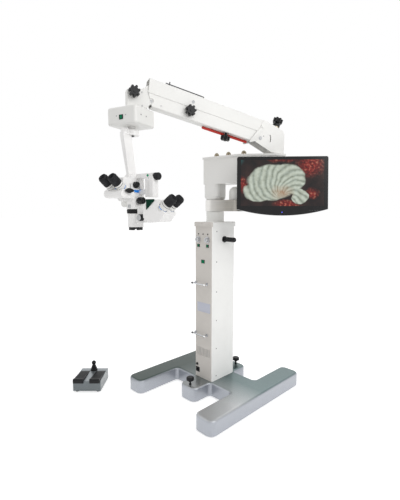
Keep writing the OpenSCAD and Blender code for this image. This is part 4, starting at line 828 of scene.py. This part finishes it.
class MICROSCOPE_OT_monitor(bpy.types.Operator):
    """Shell edge, pilot lamp and keys of the monitor"""

    bl_idname = "microscope.monitor"
    bl_label = "Monitor fittings"

    def execute(self, context):
        shell = Shape()
        inner, outer, high = 251.2, 254, 140
        for left, right in ((-outer, -inner), (inner, outer)):
            shell.block(SCREEN, (left, 3, -high), (right, 13, high), 0.8)
        shell.piece("Monitor shell edge", "monitor", "gloss_black", "shell_grey")
        lamp = Shape()
        lamp.disc(facing(shifted(SCREEN, 0, 0, -166), "-Y"), 2.6, 0, 0.4)
        lamp.piece("Monitor lamp", "monitor", "gloss_black", "blue_light")
        keys = Shape()
        for k in range(5):
            left = 150 + 14 * k
            keys.block(SCREEN, (left, -0.6, -157), (left + 8, 0.2, -154.5), 0.3)
        keys.piece("Monitor keys", "monitor", "gloss_black", "dark_metal")
        return {"FINISHED"}


class MICROSCOPE_OT_arm(bpy.types.Operator):
    """Guide rail, plug, domes, knob sleeve, cheek tips and screws of the arms"""

    bl_idname = "microscope.arm"
    bl_label = "Arm fittings"

    def execute(self, context):
        rail = Shape()
        x, start, end, post, top = GUIDE_RAIL
        rail.rod(LINK, [(x, start, top + 5), (x, end - 3, top + 5), (x, end, top + 3), (x, end, top - 1)], 2.6)
        rail.rod(LINK, [(x, post, top + 17), (x, post, top - 1)], 3)
        rail.piece("Guide rail", "upper_arm", "dark_metal")
        plug = Shape()
        seat = facing(shifted(LINK, COVER_HALF, *RING_PLUG), "+X")
        plug.ring(seat, 8, 5.5, 0, 1.6)
        plug.disc(seat, 5.5, 0, 0.8)
        plug.piece("Ring plug", "upper_arm", "white_paint", "shell_grey")
        domes = Shape()
        for x, y in DOME_NUTS:
            domes.lathe(shifted(SWING, x, y, DOME_FOOT), DOME_PROFILE, 40)
        domes.piece("Dome nut caps", "swing_arm", "chrome", "bronze_nut")
        sleeve = Shape()
        neck = shifted(ARM, 0, -5, 1672) @ Matrix.Rotation(KNOB_LEAN, 4, "X")
        sleeve.ring(neck, 22.7, 22.05, 0.6, 11.6)
        sleeve.ring(neck, 22.7, 8.2, 0.4, 1.3)
        sleeve.piece("Knob sleeve", "tension_knob", "white_paint", "bronze_nut")
        for side, direction in ((1, "+X"), (-1, "-X")):
            low = Shape()
            for y in LOWER_COVER_SCREWS:
                socket_screw(low, facing(shifted(LINK, side * LOWER_COVER_HALF, y, -8), direction), 3.6, 1.6)
            low.piece(f"Lower cover screws {side}", "lower_arm", "chrome", "screw_steel")
            bracket = Shape()
            socket_screw(bracket, facing(shifted(ARM, side * CHEEK_HALF, -105, 1618), direction), 3.4, 1.6)
            bracket.piece(f"Bracket screws {side}", "rear_bracket", "chrome", "screw_steel")
            tip = Shape()
            outline = [(-side * z, y) for y, z in CHEEK_TIP]
            tip.prism(facing(shifted(ARM, side * CHEEK_HALF), direction), outline, 0, 1.6, 0.3)
            tip.piece(f"Cheek tip {side}", "rear_bracket", "white_paint")
            front = Shape()
            for y, z in FRONT_SCREWS:
                socket_screw(front, facing(shifted(ARM, side * FRONT_HALF, y, z), direction), 4.2, 2)
            front.piece(f"Front bracket screws {side}", "front_bracket", "chrome", "screw_steel")
        return {"FINISHED"}


class MICROSCOPE_OT_head(bpy.types.Operator):
    """Knobs, grips, bracket, stripe, covers and small fittings of the microscope"""

    bl_idname = "microscope.head"
    bl_label = "Head fittings"

    def execute(self, context):
        screws = Shape()
        for y in (-38, 4):
            socket_screw(screws, facing(shifted(BOX, 87.5, y, 1650), "+X"), 3.6, 1.6)
        for x in (-28, 28):
            screws.disc(facing(shifted(BOX, x, -BOX_FACE, BOX_DOT_HEIGHT), "-Y"), 3, 0, 0.9)
        screws.piece("Head box screws", "head_box", "chrome", "screw_steel")
        frames = Shape()
        place = facing(shifted(BOX, 0, -BOX_FACE, HEAD_SWITCH_HEIGHT), "-Y")
        switch_frame(frames, place, 7.6, 9.3, 11, 12.5, 11)
        frames.piece("Head switch frame", "head_box", "black_plastic")
        bolt = Shape()
        socket_screw(bolt, facing(shifted(OPTIC, 0, -16, 1565), "-Z"), 14, 5)
        bolt.piece("Swivel bolt", "drop_arm", "dark_metal")
        band = Shape()
        for low, high in STRIPE:
            band.block(OPTIC, low, high, 0.2)
        band.piece("Blue stripe", "scope", "white_paint", "blue_band")
        gusset = Shape()
        gusset.prism(facing(shifted(ASSISTANT, -58.6), "+X"), GUSSET, 0, 3, 0.4)
        gusset.piece("Dark green bracket", "assistant", "dark_metal", "gusset_green")
        wing = Shape()
        wing.disc(facing(shifted(OPTIC, DRUM_END, *WING_CENTRE), "+X"), 9, 0, 4)
        place = facing(shifted(OPTIC, DRUM_END + 3.5, *WING_CENTRE), "+X")
        wing.prism(place, [(-z, y) for y, z in WING], 0, 11, 2.6)
        wing.disc(facing(shifted(OPTIC, -DRUM_END, *DRUM_KNOB), "-X"), 9, 0, 12, 2.4)
        wing.piece("Binocular knobs", "binocular", "black_plastic")
        cover = Shape()
        cover.disc(facing(shifted(OPTIC, -44, -12, 1228), "-Y"), 20, 0, 30, 3)
        cover.piece("Side cover", "scope", "white_paint")
        catch = Shape()
        catch.block(OPTIC, (-11, -43, 1205), (9, -40, 1221), 1.2)
        catch.piece("Front catch", "scope", "white_paint", "shell_grey")
        grip = Shape()
        grip.lathe(facing(shifted(OPTIC, 138, 0, GRIP_HEIGHT), "+X"), GRIP_PROFILE, 40)
        grip.piece("Knurled grip", "scope", "black_plastic")
        repeated("Grip ribs", "scope", "black_plastic", facing(shifted(OPTIC, 157, 0, GRIP_HEIGHT), "+X"),
                 True, count=28, reach=17.4, radius=1.0, height=24, sides=8)
        lamp = Shape()
        lamp.disc(facing(shifted(OPTIC, 106, -13, 1363), "-Y"), 6, 0, 3, 1.4)
        lamp.piece("Green lamp", "scope", "green_plastic", "green_light")
        face = Shape()
        face.disc(facing(shifted(OPTIC, 72, -46.5, 1155), "-Y"), 14.6, 0, 1.2)
        face.piece("Focus knob face", "focus_knob", "white_paint", "shell_grey")
        glass = Shape()
        glass.lathe(shifted(OPTIC, 0, 0, 1101), OBJECTIVE_LENS, 48)
        glass.piece("Objective lens", "scope", "screen_glass", "lens_glass")
        return {"FINISHED"}


def eye_frames():
    """(body stem, frame at the foot of the ocular tube) for the four eyepieces"""
    frames = []
    lean = Matrix.Rotation(math.pi / 2 - EYE_SLOPE, 4, "X")
    for side, name in ((-1, "left"), (1, "right")):
        frames.append((f"main_{name}", shifted(OPTIC, side * EYE_HALF, -110, 1293) @ lean))
        frames.append((f"assistant_{name}", shifted(ASSISTANT, side * EYE_HALF, -92, 14) @ lean))
    return frames


class MICROSCOPE_OT_oculars(bpy.types.Operator):
    """Blue bands, black rings, ribs and lenses of the four eyepieces"""

    bl_idname = "microscope.oculars"
    bl_label = "Eyepieces"

    def execute(self, context):
        band_height = sizes().band / MM
        for stem, place in eye_frames():
            band = Shape()
            band.ring(place, TUBE_RADIUS + 0.4, TUBE_RADIUS - 0.5, 8, 8 + band_height)
            band.piece(f"{stem} blue band", f"{stem}_tube", "white_paint", "blue_band")
            ring = Shape()
            ring.ring(place, TUBE_RADIUS + 0.3, TUBE_RADIUS - 0.5, 31, 33)
            ring.piece(f"{stem} black ring", f"{stem}_tube", "black_plastic")
            repeated(f"{stem} cup ribs", f"{stem}_eyecup", "eyecup_rubber", shifted(place, 0, 0, 60),
                     True, count=36, reach=23.1, radius=0.7, height=22, sides=6)
            glass = Shape()
            glass.lathe(shifted(place, 0, 0, 76), EYE_LENS, 36)
            glass.piece(f"{stem} eye lens", f"{stem}_eyecup", "screen_glass", "lens_glass")
        repeated("Magnification ribs", "magnification_ring", "black_plastic", shifted(OPTIC, 0, 0, 1186.5),
                 True, count=48, reach=43, radius=1.1, height=17, sides=6)
        return {"FINISHED"}


class MICROSCOPE_OT_foot_switch(bpy.types.Operator):
    """Pedal ribs, feet, boot folds and screws of the foot switch"""

    bl_idname = "microscope.foot_switch"
    bl_label = "Foot switch fittings"

    def execute(self, context):
        slope = math.atan2(14.5, 141.5)
        # The row runs along Y and each rib along X
        turned = Matrix(((0, 0, 1, 0), (-1, 0, 0, 0), (0, -1, 0, 0), (0, 0, 0, 1)))
        for side, name in ((-1, "left"), (1, "right")):
            top = shifted(FOOT, side * 54, 46, CASE_TOP) @ Matrix.Rotation(-slope, 4, "X")
            repeated(f"{name} pedal ribs", f"{name}_pedal", "black_plastic", shifted(top, 0, -24, -0.3) @ turned,
                     False, count=9, reach=12.5, radius=1.5, height=54, sides=10)
        feet = Shape()
        for x in (-69, 69):
            for y in (-82, 82):
                feet.ring(shifted(FOOT, x, y, 0), 11.5, 9.05, 0, 7, 32)
        feet.piece("Foot switch feet", "foot_switch", "black_plastic")
        boot = Shape()
        for k in range(4):
            low = 5.5 + 8 * k
            wide = 23 - 13 * (low + 3) / 40
            fold = ((-1, 0), (1.8, 1.5), (2.2, 3), (1.8, 4.5), (-2.4, 6), (-1, 0))
            boot.lathe(shifted(FOOT, 0, 68, 75 + low), [(wide + out, up) for out, up in fold], 40)
        boot.piece("Boot folds", "joystick", "black_plastic")
        screws = Shape()
        for side, direction in ((91, "+X"), (-91, "-X")):
            for y in (-70, 0, 70):
                socket_screw(screws, facing(shifted(FOOT, side, y, 20), direction), 3, 1.2)
        for x in (-76, 76):
            screws.disc(shifted(FOOT, x, 88, CASE_TOP), 2.6, 0, 0.7)
        screws.piece("Foot switch screws", "foot_switch", "chrome", "screw_steel")
        return {"FINISHED"}


def seen_directly(tree):
    """1 for what the camera sees, straight or in a mirror or glass, else 0"""
    path = tree.nodes.new("ShaderNodeLightPath")
    total = None
    for name in ("Is Camera Ray", "Is Glossy Ray", "Is Transmission Ray"):
        if total is None:
            total = path.outputs[name]
            continue
        add = tree.nodes.new("ShaderNodeMath")
        add.operation = "ADD"
        add.use_clamp = True
        tree.links.new(total, add.inputs[0])
        tree.links.new(path.outputs[name], add.inputs[1])
        total = add.outputs["Value"]
    return total


class MICROSCOPE_OT_stage(bpy.types.Operator):
    """Pale floor, soft lamps and the camera"""

    bl_idname = "microscope.stage"
    bl_label = "Studio"

    def execute(self, context):
        scene = context.scene
        backdrop = bpy.data.materials.new("Pale floor")
        backdrop.use_nodes = True
        tree = backdrop.node_tree
        shader = tree.nodes["Principled BSDF"]
        shader.inputs["Base Color"].default_value = (0.93, 0.93, 0.93, 1)
        shader.inputs["Roughness"].default_value = 0.9
        shader.inputs["Specular IOR Level"].default_value = 0.0
        shader.inputs["Emission Color"].default_value = (1, 1, 1, 1)
        lift = tree.nodes.new("ShaderNodeMath")
        lift.operation = "MULTIPLY"
        lift.inputs[1].default_value = FLOOR_LIFT
        tree.links.new(seen_directly(tree), lift.inputs[0])
        tree.links.new(lift.outputs["Value"], shader.inputs["Emission Strength"])
        mesh = bpy.data.meshes.new("Floor")
        far = FLOOR_REACH
        mesh.from_pydata([(-far, -far, 0), (far, -far, 0), (far, far, 0), (-far, far, 0)], [], [(0, 1, 2, 3)])
        mesh.materials.append(backdrop)
        floor = bpy.data.objects.new("Floor", mesh)
        scene.collection.objects.link(floor)
        world = bpy.data.worlds.new("Studio")
        world.use_nodes = True
        nodes, links = world.node_tree.nodes, world.node_tree.links
        background = nodes["Background"]
        background.inputs["Color"].default_value = (1, 1, 1, 1)
        strength = nodes.new("ShaderNodeMapRange")
        strength.inputs["To Min"].default_value = SKY_LIGHT
        strength.inputs["To Max"].default_value = 1.0
        links.new(seen_directly(world.node_tree), strength.inputs["Value"])
        links.new(strength.outputs["Result"], background.inputs["Strength"])
        scene.world = world
        for name, place, power, size in LAMPS:
            data = bpy.data.lights.new(name, "AREA")
            data.energy, data.size = power, size
            lamp = bpy.data.objects.new(name, data)
            lamp.location = place
            lamp.rotation_euler = (Vector(LAMP_AIM) - Vector(place)).to_track_quat("-Z", "Y").to_euler()
            scene.collection.objects.link(lamp)
        data = bpy.data.cameras.new("Camera")
        data.sensor_width, data.sensor_fit = SENSOR, "AUTO"
        data.lens = SENSOR * FOCAL_PIXELS / PICTURE_PIXELS
        data.clip_end = 100
        camera = bpy.data.objects.new("Camera", data)
        camera.location = CAMERA_PLACE
        camera.rotation_euler = (math.radians(90 - CAMERA_DIP), 0, math.radians(CAMERA_TURN))
        scene.collection.objects.link(camera)
        scene.camera = camera
        scene.view_settings.view_transform = "Standard"
        return {"FINISHED"}


class MICROSCOPE_PT_panel(bpy.types.Panel):
    """Lists the microscope's pieces and colours"""

    bl_idname = "MICROSCOPE_PT_panel"
    bl_label = "Surgical Microscope"
    bl_space_type = "VIEW_3D"
    bl_region_type = "UI"
    bl_category = "Microscope"

    def draw(self, context):
        for name in OPERATORS:
            self.layout.operator(f"microscope.{name}")
        for settings in (context.scene.microscope_colours, context.scene.microscope_sizes):
            for key in settings.bl_rna.properties.keys():
                if key not in ("rna_type", "name"):
                    self.layout.prop(settings, key)


OPERATORS = ("finishes", "panel", "monitor", "arm", "head", "oculars", "foot_switch", "stage")
CLASSES = (
    MicroscopeColours, MicroscopeSizes, MICROSCOPE_OT_finishes, MICROSCOPE_OT_panel, MICROSCOPE_OT_monitor,
    MICROSCOPE_OT_arm, MICROSCOPE_OT_head, MICROSCOPE_OT_oculars, MICROSCOPE_OT_foot_switch,
    MICROSCOPE_OT_stage, MICROSCOPE_PT_panel)


def register():
    for item in CLASSES:
        bpy.utils.register_class(item)
    bpy.types.Scene.microscope_colours = bpy.props.PointerProperty(type=MicroscopeColours)
    bpy.types.Scene.microscope_sizes = bpy.props.PointerProperty(type=MicroscopeSizes)


def unregister():
    del bpy.types.Scene.microscope_sizes
    del bpy.types.Scene.microscope_colours
    for item in reversed(CLASSES):
        bpy.utils.unregister_class(item)


def main():
    register()
    for name in OPERATORS:
        getattr(bpy.ops.microscope, name)()


if __name__ == "__main__":
    main()
